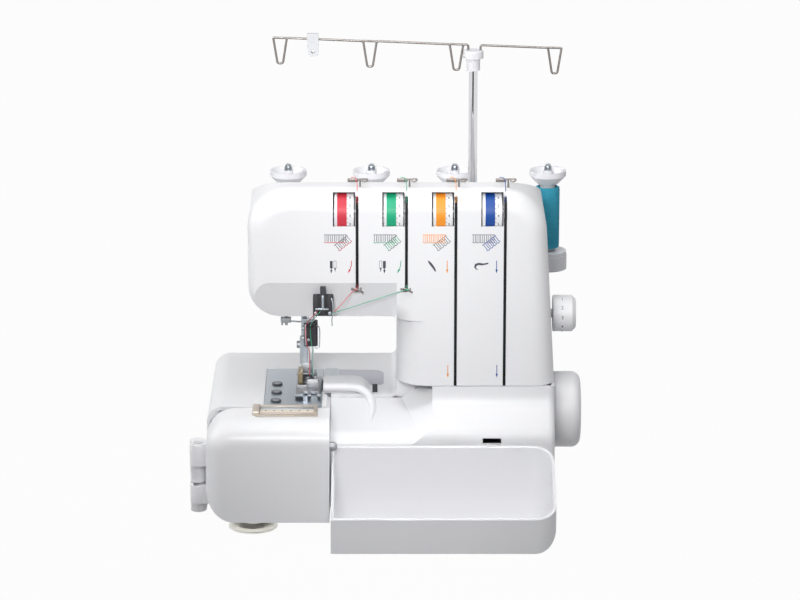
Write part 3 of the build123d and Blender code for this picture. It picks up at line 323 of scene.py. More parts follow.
def figure_on_drum(bm, text, height, x, centre, radius, angle):
    """A figure bent round a drum about X; angle 0 faces the front."""
    mesh = figure_mesh(text, height)
    start = len(bm.verts)
    bm.from_mesh(mesh)
    bm.verts.ensure_lookup_table()
    for vert in bm.verts[start:]:
        turn = angle + vert.co.y / radius
        out = radius + FIGURE_DEPTH + vert.co.z
        vert.co = (x + vert.co.x, centre[0] - out * cos(turn), centre[1] + out * sin(turn))
    bpy.data.meshes.remove(mesh)


# Sizes and colours that a user may change

def colour_property(title, words, default):
    """A colour in linear light."""
    return bpy.props.FloatVectorProperty(name=title, description=words, subtype="COLOR", size=3, min=0.0,
                                         max=1.0, default=default)


def length_property(title, words, default):
    """A length in metres."""
    return bpy.props.FloatProperty(name=title, description=words, subtype="DISTANCE", unit="LENGTH", min=0.0,
                                   precision=5, default=default)


class SergerColours(bpy.types.PropertyGroup):
    """Colours of the serger's finishes."""

    casing: colour_property("Casing", "Moulded white of the casing, covers and bin", (0.85, 0.85, 0.865))
    stand: colour_property("Stand", "White of the spool stand and caps", (0.82, 0.82, 0.85))
    red: colour_property("Red", "Left needle's dial and thread", (0.62, 0.035, 0.06))
    green: colour_property("Green", "Right needle's dial and thread", (0.005, 0.38, 0.19))
    orange: colour_property("Orange", "Upper looper's dial", (0.90, 0.32, 0.02))
    blue: colour_property("Blue", "Lower looper's dial", (0.005, 0.065, 0.32))
    teal: colour_property("Teal", "Thread on the spool", (0.004, 0.29, 0.48))
    plate: colour_property("Plate", "Satin steel of the needle plate", (0.42, 0.46, 0.50))
    guide: colour_property("Seam guide", "Warm nickel of the seam guide", (0.52, 0.46, 0.40))
    wire: colour_property("Wire", "Steel wire of the thread guides", (0.24, 0.22, 0.21))
    foot: colour_property("Feet", "Cream rubber of the suction feet", (0.97, 0.95, 0.86))
    ink: colour_property("Ink", "Printed marks and figures", (0.05, 0.05, 0.07))


class SergerSizes(bpy.types.PropertyGroup):
    """Sizes of the serger's dressed details."""

    thread: length_property("Thread", "Radius of a needle or looper thread", 0.0003)
    winding: length_property("Winding", "Radius of the thread wound on the spool", 0.00036)
    figure: length_property("Figure", "Height of the figures on the dials", 0.0036)
    line: length_property("Line", "Width of a printed line", 0.00055)
    turns: bpy.props.IntProperty(name="Turns", description="Turns of thread in the spool's outer layer", min=1,
                                 default=78)


def looks(context):
    """The colours and sizes in use."""
    return context.scene.serger_colours, context.scene.serger_sizes


# Finishes: name, colour or the property that holds it, roughness, other settings, CAD nodes

ALONG_X = (1.0, 9.0, 9.0)
ALONG_Z = (1.0, 1.0, 0.1)
FINISHES = (
    ("casing_white", "casing", 0.38, dict(grain=700.0, bump=0.03, mottle=0.012, coat=0.08),
     "front_casing", "rear_casing", "base_casing", "side_cover", "looper_cover", "knife_guard", "handwheel",
     "stitch_dial", "lifter_lever", "hinge_leaf", "waste_bin"),
    ("stand_white", "stand", 0.34, dict(grain=900.0, bump=0.06, mottle=0.015),
     "spool_stand", "idle_caps", "spool_cap", "guide_cap"),
    ("clip_frosted", (0.76, 0.77, 0.80), 0.5, dict(grain=900.0, bump=0.01, see_through=0.03), "wire_clip"),
    ("lamp_lens", (0.95, 0.94, 0.88), 0.4, dict(grain=400.0, bump=0.2, see_through=0.2), "lamp"),
    ("satin_steel", "plate", 0.34, dict(metallic=1.0, grain=220.0, bump=0.10, mottle=0.06, stretch=ALONG_X),
     "needle_plate", "plate_insert", "feed_dog", "lower_knife", "upper_knife", "lower_looper", "upper_looper",
     "main_shaft", "presser_bar", "presser_foot", "guide_bracket", "spool_pins", "tension_shaft",
     "presser_spring", "screws"),
    ("guide_nickel", "guide", 0.38, dict(metallic=0.7, grain=260.0, bump=0.1, mottle=0.06, stretch=ALONG_X),
     "seam_guide"),
    ("guide_wire", "wire", 0.42, dict(metallic=0.9, grain=500.0, bump=0.05, mottle=0.08),
     "guide_tree", "thread_guides"),
    ("chrome", (0.72, 0.72, 0.74), 0.08,
     dict(metallic=1.0, grain=300.0, bump=0.02, mottle=0.03, stretch=ALONG_Z),
     "inner_pole", "outer_pole", "needle_bar", "needles"),
    ("cast_frame", (0.42, 0.43, 0.45), 0.55, dict(metallic=0.8, grain=300.0, bump=0.4, mottle=0.08),
     "machine_frame", "drive_pulley", "motor_pulley"),
    ("bearing_brass", (0.60, 0.42, 0.16), 0.35, dict(metallic=1.0, grain=300.0, bump=0.1), "shaft_bearings"),
    ("dark_paint", (0.10, 0.10, 0.11), 0.45, dict(grain=500.0, bump=0.25, mottle=0.1), "motor", "bottom_plate"),
    ("black_plastic", (0.022, 0.022, 0.026), 0.42, dict(grain=900.0, bump=0.15, mottle=0.15),
     "needle_clamp", "take_up_block", "power_inlet", "switch_rocker"),
    ("belt_rubber", (0.02, 0.02, 0.02), 0.7, dict(grain=500.0, bump=0.3), "drive_belt"),
    ("foot_rubber", "foot", 0.3, dict(grain=300.0, bump=0.05, see_through=0.85), "suction_feet"),
    ("core_grey", (0.50, 0.51, 0.53), 0.5, dict(grain=700.0, bump=0.1), "spool_core"),
    ("thread_teal", "teal", 0.75, dict(grain=1500.0, bump=0.5, mottle=0.12, sheen=0.12),
     "thread_winding", "thread_pack"),
    ("foot_steel", (0.36, 0.37, 0.39), 0.46, dict(metallic=1.0, grain=260.0, bump=0.08, mottle=0.06),
     "latch_pin"),
    ("printed_ink", "ink", 0.5, dict(grain=900.0, bump=0.1, mottle=0.1)),
    ("print_grey", (0.10, 0.105, 0.13), 0.5, dict(grain=900.0, bump=0.1, mottle=0.1)),
    # dark painted shade for the gaps round the plate screws and for their slots
    ("screw_dark", (0.07, 0.075, 0.085), 0.35, dict(metallic=0.7, grain=300.0, bump=0.1, mottle=0.08)),
    ("foot_brass", (0.30, 0.24, 0.15), 0.35, dict(metallic=0.9, grain=300.0, bump=0.1, mottle=0.08)),
    # black painted shade for the inside of the thread slits
    ("slit_black", (0.003, 0.003, 0.004), 0.85, dict(grain=600.0, bump=0.1, mottle=0.1)),
    ("strip_cream", (0.80, 0.72, 0.62), 0.4, dict(grain=700.0, bump=0.05, mottle=0.04)),
    # grey painted shade of the niche under the head, for the thin sheet on the bed beside the needle plate
    ("niche_grey", (0.56, 0.57, 0.63), 0.4, dict(grain=700.0, bump=0.05, mottle=0.03)),
)
DIAL_BAND = (14.4, 6.2)  # the coloured band's ends, from a dial's right end


class SERGER_OT_finishes(bpy.types.Operator):
    """Give every CAD piece its finish"""

    bl_idname = "serger.finishes"
    bl_label = "Finishes"

    def execute(self, context):
        colours = looks(context)[0]
        for name, colour, roughness, settings, *nodes in FINISHES:
            tint = getattr(colours, colour) if isinstance(colour, str) else colour
            dress(finish(name, tint, roughness, **settings), *nodes)
        for name in COLOURS:
            tint = getattr(colours, name)
            end = node_box(f"tension_dial_{name}")[1].x
            band = [(end - place) * MM for place in DIAL_BAND]
            dress(banded(f"dial_{name}", colours.casing, tint, *band, 0.5), f"tension_dial_{name}")
            finish(f"thread_{name}", tint, 0.7, grain=2000.0, bump=0.4, sheen=0.4)
            finish(f"print_{name}", tint, 0.45, grain=900.0, bump=0.1, mottle=0.08)
        dress(bpy.data.materials["thread_red"], "needle_threads")
        return {"FINISHED"}


# Threads

class SERGER_OT_spool(bpy.types.Operator):
    """Wind the spool with thread"""

    bl_idname = "serger.spool"
    bl_label = "Spool of thread"

    def execute(self, context):
        sizes = looks(context)[1]
        low, high = node_box("thread_winding")
        radius = sizes.winding / MM
        centre = (low + high) / 2
        outer = (high.x - low.x) / 2
        bottom, top = low.z, high.z
        bm = bmesh.new()
        pack = outer - 2.2 * radius
        outline = [(0.8 * pack, bottom), (pack - 1.6, bottom + 0.1), (pack, bottom + 2.0), (pack, top - 1.2),
                   (pack - 0.8, top), (0.8 * pack, top)]
        spin_profile(bm, [(centre.x + r, centre.y, z) for r, z in outline], centre, (0, 0, 1), steps=48)

        def wound(turns, reach, start, end, phase, per_turn):
            count = int(abs(turns) * per_turn)
            points = []
            for step in range(count + 1):
                share = step / count
                z = start + (end - start) * share
                ease = min(1.0, (z - bottom) / 2.4 + 0.72, (top - z) / 1.6 + 0.86)
                angle = phase + 2 * pi * turns * share
                points.append((centre.x + reach * ease * cos(angle), centre.y + reach * ease * sin(angle), z))
            tube(bm, points, radius, sides=5)

        wound(sizes.turns, pack, bottom + radius, top - radius, 0.0, 30)
        for phase in range(5):
            wound(6.5, pack + 0.7 * radius, bottom + 2.5, top - 2.0, phase * 2 * pi / 5, 36)
            wound(-6.5, pack + 0.9 * radius, bottom + 2.5, top - 2.0, phase * 2 * pi / 5, 36)
        obj = piece("spool_thread", bm, "thread_teal", "spool", angle=60.0)
        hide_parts("thread_winding", "thread_pack")
        return {"FINISHED"}


def needle_route(slit, hook_y, number):
    """A needle thread's way from its slit over the hook to the take-up block."""
    low, high = node_box("take_up_block")
    eye = low.z + 4.4 - number * 1.6
    return [(slit, hook_y - 0.35, HOOK_HEIGHT), (slit - 3.0, hook_y - 0.3, HOOK_HEIGHT - 0.6),
            (high.x + 2.0, low.y + 1.0, eye + 1.0), (high.x - 2.0, low.y + 1.4, eye)]


def add_tail(name, number, radius):
    """A needle thread's way from the take-up block to its needle, which the needle bar pulls along."""
    block = node_box("take_up_block")[0]
    low, high = node_box("needle_clamp")
    needle_low, needle_high = node_box("needles")
    spot = block.x + 1.0 + 3.0 * number
    eye = low.x + 4.0 * number
    x = (needle_low.x + needle_high.x) / 2 + (number - 0.5) * 3.0
    start = (spot, block.y + 0.6, block.z + 1.5)
    run = [(spot + 3.0, block.y + 1.2, block.z + 5.0), start, (eye + 2.0, low.y - 1.2, high.z - 1.0),
           (eye + 2.6, low.y - 0.9, low.z + 4.0), (x, -3.0, low.z - 6.0), (x, -1.0, needle_low.z + 9.0),
           (x, -0.8, needle_low.z + 4.5)]
    bm = bmesh.new()
    wire(bm, run, radius, sides=8, steps=10)
    tail = piece(f"thread_{name}_tail", bm, f"thread_{name}", None, angle=60.0)
    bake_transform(tail)


class SERGER_OT_threads(bpy.types.Operator):
    """Lead the threads from the top guides through the slits to the needles"""

    bl_idname = "serger.threads"
    bl_label = "Threads"

    def execute(self, context):
        radius = looks(context)[1].thread / MM
        front = node_box("front_casing")[0].y
        guide_low, guide_high = node_box("thread_guides")
        top, depth = guide_high.z - GUIDE_DROP, front + THREAD_DEPTH
        for number, name in enumerate(COLOURS):
            dial = node_box(f"tension_dial_{name}")[1]
            slit = slit_place(name)
            route = [(slit - 5.0, GUIDE_Y + 0.8, top + 1.2), (slit - 1.5, GUIDE_Y - 1.5, top + 1.1),
                     (slit, GUIDE_Y - 4.0, top - 3.0), (slit, depth, dial.z - 3.0),
                     (slit, depth, dial.z - 14.0)]
            if number < NEEDLES:
                route += [(slit, depth, 226.0), (slit, front + 4.0, 209.0)]
                route += needle_route(slit, guide_low.y, number)
            else:
                route += [(slit, depth, 200.0), (slit, depth, 150.0), (slit, depth, 119.5)]
            bm = bmesh.new()
            wire(bm, route, radius, sides=8)
            obj = piece(f"thread_{name}", bm, f"thread_{name}", angle=60.0)
            if number == 0:
                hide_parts("needle_threads")
            if number < NEEDLES:
                add_tail(name, number, radius)
        return {"FINISHED"}


def add_top_guide(bm, slit, top):
    """A post with a plate and a wire bent back to an eye, over a slit."""
    post, y = slit + 2.6, GUIDE_Y
    tube(bm, [(post, y, top - 8.0), (post, y, top)], 0.8, sides=12)
    bar(bm, (slit - 8.2, y - 1.2, top - 2.6), (slit + 1.0, y, top + 0.6), bevel=0.3)
    wire(bm, [(slit - 4.0, y - 0.6, top - 0.4), (slit, y - 0.6, top - 0.4), (slit + 4.0, y - 0.2, top),
              (slit + 8.2, y - 0.2, top), (slit + 8.8, y - 1.6, top - 0.8), (slit + 6.6, y - 2.6, top - 1.8),
              (slit + 4.0, y - 2.0, top - 1.0)], 0.7)


def add_hook(bm, slit, front):
    """Two crossed wires at a needle slit's lower end."""
    wire(bm, [(slit - 4.4, front + 0.8, 204.0), (slit - 4.4, front - 1.6, 203.8),
              (slit - 1.4, front - 2.4, 204.6), (slit + 1.2, front - 2.2, HOOK_HEIGHT),
              (slit + 3.4, front - 2.0, 202.2), (slit + 4.6, front - 1.6, 201.2),
              (slit + 4.6, front + 0.8, 201.0)], 0.75)
    wire(bm, [(slit - 2.6, front - 1.2, 201.8), (slit, front - 2.0, 202.2), (slit + 2.8, front - 2.2, 203.8),
              (slit + 3.2, front + 0.8, 204.4)], 0.6)


class SERGER_OT_guides(bpy.types.Operator):
    """Bend the wire guides over the slits and at their lower ends, and line the slits with black painted shade
    """

    bl_idname = "serger.guides"
    bl_label = "Wire guides"

    def execute(self, context):
        front = node_box("front_casing")[0].y
        top = node_box("thread_guides")[1].z - GUIDE_DROP
        wires, shade_liners = bmesh.new(), bmesh.new()
        for number, name in enumerate(COLOURS):
            slit = slit_place(name)
            add_top_guide(wires, slit, top)
            if number < NEEDLES:
                add_hook(wires, slit, front)
            bottom = NEEDLE_SLIT_END if number < NEEDLES else LOOPER_SLIT_END
            # a black liner just behind each slit's opening is painted shade of the slit's depth
            bar(shade_liners, (slit - 1.2, front + 1.5, bottom), (slit + 1.2, front + 2.3, SLIT_TOP), bevel=0.1)
        piece("slit_liners", shade_liners, "slit_black")
        obj = piece("wire_guides", wires, "guide_wire", angle=60.0)
        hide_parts("thread_guides")
        return {"FINISHED"}


# Printed scales and marks

def drum_of(node):
    """A dial's right end, its axis as (y, z) and its radius."""
    low, high = node_box(node)
    return high.x, ((low.y + high.y) / 2, (low.z + high.z) / 2), (high.z - low.z) / 2


def add_tick(bm, x, centre, radius, angle, length=0.9, half=0.2, depth=0.1):
    """A short line along X on a drum."""
    out = Vector((0, -cos(angle), sin(angle)))
    along = Vector((0, sin(angle), cos(angle))) * half
    base = Vector((x, *centre)) + out * radius
    tip = base + Vector((length, 0, 0))
    corners = [base - along, tip - along, tip + along, base + along]
    prism(bm, [corner + out * depth for corner in corners], [corner - out * depth for corner in corners])


class SERGER_OT_scales(bpy.types.Operator):
    """Print the scales of the tension dials and the stitch length dial"""

    bl_idname = "serger.scales"
    bl_label = "Dial scales"

    def execute(self, context):
        height = looks(context)[1].figure / MM
        for name in COLOURS:
            end, centre, radius = drum_of(f"tension_dial_{name}")
            bm = bmesh.new()
            for figure in range(10):
                angle = radians(30.0 * figure - 120.0)
                figure_on_drum(bm, str(figure), height, end - 3.4, centre, radius - 0.05, angle)
            for tick in range(20):
                add_tick(bm, end - 6.0, centre, radius + 0.02, radians(15.0 * (tick - 9.5)))
            piece(f"scale_{name}", bm, "printed_ink", f"dial_{name}")
        end, centre, radius = drum_of("stitch_dial")
        bm = bmesh.new()
        for figure in range(1, 6):
            angle = radians(32.0 * (3 - figure))
            figure_on_drum(bm, str(figure), 1.2 * height, end - 12.0, centre, radius - 0.05, angle)
        piece("scale_stitch", bm, "printed_ink", "stitch_dial")
        return {"FINISHED"}


DRAWING_BASE, SIGN_BASE, ARROW_BASE = 236.6, 217.5, 124.5  # heights of the marks
TINTED = {  # lines of the two drawn rows, a and b, that have their thread's colour
    "red": ("afar", "bfar"),
    "green": ("afar", "brungs"),
    "orange": ("anear", "afar", "arungs"),
    "blue": ("bnear", "bfar", "brungs"),
}
LOOPER_SIGNS = (
    [(-3.6, 11.3), (-2.2, 11.0), (0.4, 8.4), (2.6, 5.0), (3.9, 1.6), (2.4, 2.0), (0.6, 4.8), (-1.8, 7.8),
     (-2.8, 9.6)],
    [(6.2, 9.6), (6.0, 8.2), (1.0, 7.2), (-2.6, 7.4), (-4.4, 6.2), (-4.0, 4.4), (-2.4, 3.0), (-4.6, 3.6),
     (-6.0, 5.6), (-5.2, 8.4), (-2.4, 9.4), (2.0, 8.8)],
)


def ladder(start, run, across, length, depth, count=6):
    """The lines of a drawn row of stitches: its two edges and its rungs, as (x, z) paths."""
    def at(along, over):
        return (start[0] + run[0] * along + across[0] * over, start[1] + run[1] * along + across[1] * over)

    pitch = length / count
    scallops = []
    for step in range(count):
        scallops += [at(step * pitch, depth), at((step + 0.5) * pitch, depth + 0.8)]
    scallops.append(at(length, depth))
    rungs = [[at((step + shift) * pitch, 0.6), at((step + shift) * pitch, depth - 0.6)]
             for step in range(count) for shift in (0.2, 0.75)]
    return {"near": [[at(0.0, 0.0), at(length, 0.0)]], "far": [scallops], "rungs": rungs}


def add_drawing(name, left, base, front, width):
    """Two drawn rows of stitches, with this thread's lines in its colour."""
    grey, tinted = bmesh.new(), bmesh.new()
    rows = {"a": ladder((left, base + 15.0), (1.0, 0.0), (0.0, -1.0), 19.0, 6.4),
            "b": ladder((left + 19.6, base + 14.4), (-0.785, -0.62), (0.62, -0.785), 14.0, 6.0, count=4)}
    for row, lines in rows.items():
        for kind, paths in lines.items():
            chosen = tinted if (row + kind) in TINTED[name] else grey
            for path in paths:
                stroke(chosen, front, path, 0.9 * width, thickness=1.5 * PRINT if chosen is tinted else PRINT)
    piece(f"drawing_{name}", grey, "print_grey")
    piece(f"stitch_{name}", tinted, f"print_{name}")


def add_sign(name, number, x, front, width):
    """A needle pair with this thread's needle filled, or a looper."""
    z = SIGN_BASE
    bm = bmesh.new()
    if number < NEEDLES:
        full = x + 3.2 * (number - 0.5)
        other = x - 3.2 * (number - 0.5)
        for half, bottom, top in ((1.2, 4.6, 11.0), (0.4, 3.0, 4.6)):
            slab(bm, front, [(full - half, z + bottom), (full + half, z + bottom), (full + half, z + top),
                             (full - half, z + top)])
        slab(bm, front, [(full - 1.0, z + 3.0), (full, z), (full + 1.0, z + 3.0)])
        stroke(bm, front, [(other - 1.0, z + 4.8), (other - 1.0, z + 11.0), (other + 1.0, z + 11.0),
                           (other + 1.0, z + 4.8), (other - 1.0, z + 4.8)], 0.5 * width)
        slab(bm, front, [(other - 0.8, z + 4.8), (other, z + 1.0), (other + 0.8, z + 4.8)])
    else:
        slab(bm, front, [(x + dx, z + dz) for dx, dz in LOOPER_SIGNS[number - NEEDLES]])
    piece(f"sign_{name}", bm, "printed_ink")


class SERGER_OT_marks(bpy.types.Operator):
    """Print the stitch drawings, needle and looper signs and threading arrows on the front"""

    bl_idname = "serger.marks"
    bl_label = "Printed marks"

    def execute(self, context):
        width = looks(context)[1].line / MM
        front = node_box("front_casing")[0].y
        for number, name in enumerate(COLOURS):
            slit = slit_place(name)
            add_drawing(name, slit - 28.0, DRAWING_BASE, front, width)
            add_sign(name, number, slit - 20.5, front, width)
            bm = bmesh.new()
            spots = [(slit - 7.3, SIGN_BASE)]
            if number >= NEEDLES:
                spots.append((slit - 6.4, ARROW_BASE))
            lean = 2.6 if number < NEEDLES else 0.0
            for x, z in spots:
                middle = x + 0.4 * lean
                shaft = [(x + lean, z + 11.0), (x + 0.9 * lean, z + 7.0), (middle, z + 3.2)]
                stroke(bm, front, shaft, 1.1 * width)
                slab(bm, front, [(middle - 1.0, z + 3.4), (middle + 1.0, z + 3.4), (x - 0.2 * lean, z)])
            piece(f"arrow_{name}", bm, f"print_{name}")
        return {"FINISHED"}


# Needle works

def add_take_up():
    """The thread guide block under the head: a body with three teeth, plates, screws and a wire."""
    (x, y, z), high = node_box("take_up_block")
    bm = bmesh.new()
    bar(bm, (x, y + 2.5, z), (high.x, high.y - 3.0, high.z - 2.0), bevel=0.8)
    for left, right, top, step in ((0.3, 4.6, 1.6, 0.6), (6.2, 11.0, -6.0, 0.0), (12.2, 16.8, 1.2, 0.8)):
        bar(bm, (x + left, y + step, z + 0.8), (x + right, y + 5.0, high.z - top))
    obj = piece("take_up_body", bm, "black_plastic")
    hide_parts("take_up_block")
    bm = bmesh.new()
    bar(bm, (x + 7.6, y - 0.5, z + 7.0), (x + 9.4, y + 1.0, high.z - 1.0), bevel=0.3)
    bar(bm, (x + 2.0, y - 0.3, z + 6.0), (high.x - 4.0, y + 2.6, z + 7.4), bevel=0.3)
    for place in (x + 2.4, x + 14.5):
        disc(bm, (place, y + 1.2, z + 3.0), (0, -1, 0), 1.5, 1.4)
    wire(bm, [(high.x - 2.0, y + 2.0, high.z - 3.0), (high.x - 0.6, y - 0.6, high.z - 7.0),
              (high.x - 0.2, y - 0.8, z + 4.0), (high.x - 1.2, y - 0.4, z - 2.0),
              (high.x - 1.0, y - 0.2, z - 8.0)], 0.55, sides=10)
    piece("take_up_wires", bm, "satin_steel")


def add_clamp():
    """The needle clamp's wire, screws and plates."""
    low, high = node_box("needle_clamp")
    bm = bmesh.new()
    right, front, top = high.x, low.y, high.z
    wire(bm, [(right - 2.0, front + 4.0, top - 2.0), (right + 1.6, front + 1.6, top - 4.0),
              (right + 1.7, front + 1.4, low.z + 3.0), (right + 0.4, front + 1.0, low.z - 0.8),
              (right - 3.0, front + 1.0, low.z - 0.6)], 0.5, sides=10)
    for z in (low.z + 6.0, low.z + 15.0):
        disc(bm, (low.x + 0.2, 0.5, z), (-1, 0, 0), 2.2, 2.4, bevel=0.5)
    disc(bm, (low.x + 4.0, front + 3.2, low.z + 6.0), (0, -1, 0), 1.3, 0.8)
    bar(bm, (low.x + 0.8, -6.4, low.z + 1.0), (low.x + 2.2, -4.0, top - 1.0), bevel=0.3)
    bar(bm, (low.x - 1.6, -4.0, top - 1.2), (high.x - 3.5, 4.0, top + 3.4), bevel=0.6)
    piece("clamp_wires", bm, "satin_steel", "needle_bar")


def add_foot():
    """The presser foot: a sole with three toes, cheeks, a block, an ankle, pins, a spring and a cap."""
    (x, y, z), high = node_box("presser_foot")
    bar_low, bar_high = node_box("presser_bar")
    sole = z + 2.6
    left_toe, middle_toe, right_toe = (x, x + 7.0), (x + 10.5, x + 13.5), (high.x - 2.6, high.x)
    bm = bmesh.new()
    for left, right in (left_toe, right_toe):
        bar(bm, (left, y + 5.0, z), (right, high.y, sole))
    bar(bm, (x + 6.5, 7.0, z), (high.x - 2.2, high.y, sole))
    bar(bm, (x + 6.5, y + 16.0, z), (high.x - 2.2, -7.0, sole))
    bar(bm, (middle_toe[0], y + 5.0, z), (middle_toe[1], y + 17.0, sole))
    tip = [(y, z + 3.0), (y, z + 5.2), (y + 6.0, sole), (y + 6.0, z)]
    for left, right in (left_toe, right_toe, middle_toe):
        prism(bm, [(left, *spot) for spot in tip], [(right, *spot) for spot in tip])
    for left in (x + 1.6, high.x - 6.0):
        bar(bm, (left, -4.0, sole - 0.6), (left + 1.8, 17.0, z + 10.8))
    bar(bm, (x + 1.0, -11.0, sole - 0.4), (high.x - 1.0, -7.4, sole + 2.2))
    bar(bm, (high.x - 12.5, -13.0, sole - 0.4), (high.x - 1.6, -7.8, z + 8.4), bevel=0.6)
    bar(bm, (x + 4.5, 11.0, sole - 0.5), (high.x - 7.0, 22.0, bar_low.z + 0.6), bevel=0.8)
    disc(bm, (x + 0.6, 6.5, z + 10.0), (1, 0, 0), 1.5, high.x - x - 4.2)
    disc(bm, (bar_low.x + 0.3, bar_low.y + 6.0, bar_high.z - 124.0), (-1, 0, 0), 3.2, 3.2, bevel=0.6)
    obj = piece("presser_foot_body", bm, "foot_steel", "presser")
    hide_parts("presser_foot")
    bm = bmesh.new()
    bar(bm, (x + 1.9, -6.4, sole + 0.2), (x + 6.2, -4.2, z + 15.5))
    bar(bm, (x + 1.9, -6.2, z + 14.0), (x + 6.2, 12.0, z + 15.4), bevel=0.4)
    piece("foot_spring", bm, "foot_brass", "presser")
    bm = bmesh.new()
    bar(bm, (high.x - 11.5, -12.4, z + 8.0), (high.x - 2.6, -8.2, z + 9.9))
    piece("foot_cap", bm, "casing_white", "presser")


def add_bracket():
    """The clip and wire on the needle bar's guide bracket."""
    low, high = node_box("guide_bracket")
    bm = bmesh.new()
    bar(bm, (low.x + 3.6, low.y + 3.0, high.z - 16.0), (low.x + 6.2, low.y + 5.4, high.z), bevel=0.4)
    bar(bm, (low.x, low.y, high.z - 13.0), (low.x + 9.0, low.y + 6.0, high.z - 8.6), bevel=0.7)
    bar(bm, (low.x + 0.4, low.y + 1.0, high.z - 15.4), (low.x + 2.0, low.y + 4.0, high.z - 11.0), bevel=0.4)
    wire(bm, [(low.x + 8.0, low.y + 3.0, high.z - 12.0), (high.x - 5.0, low.y + 3.0, high.z - 12.6),
              (high.x - 2.0, low.y + 2.6, high.z - 12.4)], 0.7, sides=10)
    obj = piece("bracket_clip", bm, "foot_steel")
    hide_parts("guide_bracket")


class SERGER_OT_needle_works(bpy.types.Operator):
    """Build the take-up, the clamp's wire and screws, the presser foot and the bracket's clip"""

    bl_idname = "serger.needle_works"
    bl_label = "Needle works"

    def execute(self, context):
        add_take_up()
        add_clamp()
        add_foot()
        add_bracket()
        return {"FINISHED"}


# Bed and covers

def raised(bm, faces, way):
    """Grow faces into a solid along a way, and give the edges of the moved side."""
    grown = bmesh.ops.extrude_face_region(bm, geom=faces)["geom"]
    bmesh.ops.translate(bm, vec=way, verts=[item for item in grown if isinstance(item, bmesh.types.BMVert)])
    return [item for item in grown if isinstance(item, bmesh.types.BMEdge)]


def sheet_plate(bm, outline, z, thickness=0.35, bevel=0.15):
    """A thin flat plate from (x, y) corners, with a softened upper edge."""
    face = bm.faces.new([bm.verts.new((x, y, z)) for x, y in outline])
    face.normal_update()
    soften(bm, raised(bm, [face], (0, 0, thickness)), bevel)


def side_skin():
    """The side cover's skin as a bmesh in millimetres."""
    bm = bmesh.new()
    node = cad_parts["side_cover"]
    bm.from_mesh(node.data)
    bm.transform(node.matrix_world)
    bmesh.ops.scale(bm, vec=(1.0 / MM,) * 3, verts=bm.verts)
    bm.normal_update()
    return bm


PLATE_END = -44.2  # where the plate's extension meets the grey sheet of painted shade beside it, along X
PLATE_SCREWS = (1.0, 0.1, -0.8)  # screws along the plate, in steps of SCREW_STEP
SCREW_STEP = 28.0
# outline of a dark collar round each plate screw, painted shade of the gap round its head
SCREW_SHADE_RING = ((3.2, 0.0), (4.22, 0.0), (4.22, -0.95), (4.6, -0.95), (4.6, 0.35), (3.2, 0.35), (3.2, 0.0))
HINGE_BARRELS = ((22.0, 38.0, 0.4), (55.5, 75.5, 2.5))  # bottom, top and softened edge
HOOD_ARCH = ((-30.0, 105.0), (-24.0, 103.6), (-19.5, 100.2), (-15.2, 100.2), (-17.5, 104.0), (-22.0, 107.6),
             (-28.0, 109.0))
CHUTE_SPINE = ((-44.0, -18.0, 105.6), (-33.0, -18.0, 105.6), (-25.0, -18.6, 104.6), (-19.0, -20.2, 101.6),
               (-15.2, -23.4, 97.6), (-13.4, -28.5, 94.0), (-13.0, -35.5, 90.4), (-14.2, -44.0, 86.0),
               (-16.6, -55.0, 79.6))
CHUTE_STEPS = 6  # points between two of the spine's
FIXED_SPANS = 4  # spans of the spine that stay on the machine when the looper cover slides
CHUTE_RADIUS = 3.8
FLANGE_FOOT, FLANGE_TOP, FLANGE_END = 20.0, 97.0, -110.0
LOOP_LEVEL, LOOP_FALL = 390.0, 9.0  # the wire tree's height at its left loop, and its fall to the right one


def add_plates():
    """The needle plate's extension, dark painted shade in its screws' ring gaps and slots, a grey sheet of
    painted shade beside it and its latch.
    """
    low, high = node_box("needle_plate")
    guard_low, guard_high = node_box("knife_guard")
    top, left, back, front = high.z, high.x + 0.8, high.y, guard_high.y + 1.0
    bm = bmesh.new()
    sheet_plate(bm, [(left, front), (PLATE_END, front), (PLATE_END, back), (left, back)], top)
    piece("plate_extension", bm, "satin_steel")
    # a thin sheet on the bed whose grey is painted shade of the niche under the head
    start = PLATE_END + 0.6
    bm = bmesh.new()
    sheet_plate(bm, [(start, front), (-6.0, front), (-3.4, front + 4.0), (-3.4, 44.0), (-6.5, 50.0),
                     (-12.0, 52.0), (start, back - 3.0)], top)
    piece("bed_cover", bm, "niche_grey")
    bm = bmesh.new()
    right, near = guard_high.x, guard_low.y
    bar(bm, (right - 1.2, near + 4.8, top - 0.2), (right + 3.2, near + 7.2, top + 7.0), bevel=0.4)
    piece("works_latch", bm, "black_plastic")
    bm = bmesh.new()
    # dark collars and slot bars on the plate screws are painted shade of their ring gaps and slots
    for step in PLATE_SCREWS:
        centre = Vector((low.x + 10.08, low.y - 0.2 + SCREW_STEP * step, top + 1.0))
        ring = [centre + Vector((r, 0.0, z)) for r, z in SCREW_SHADE_RING]
        spin_profile(bm, ring, centre, (0, 0, 1), steps=40)
        bar(bm, centre + Vector((-3.0, -0.6, -0.2)), centre + Vector((3.0, 0.6, 0.3)), bevel=0.1)
    piece("plate_screw_slots", bm, "screw_dark")


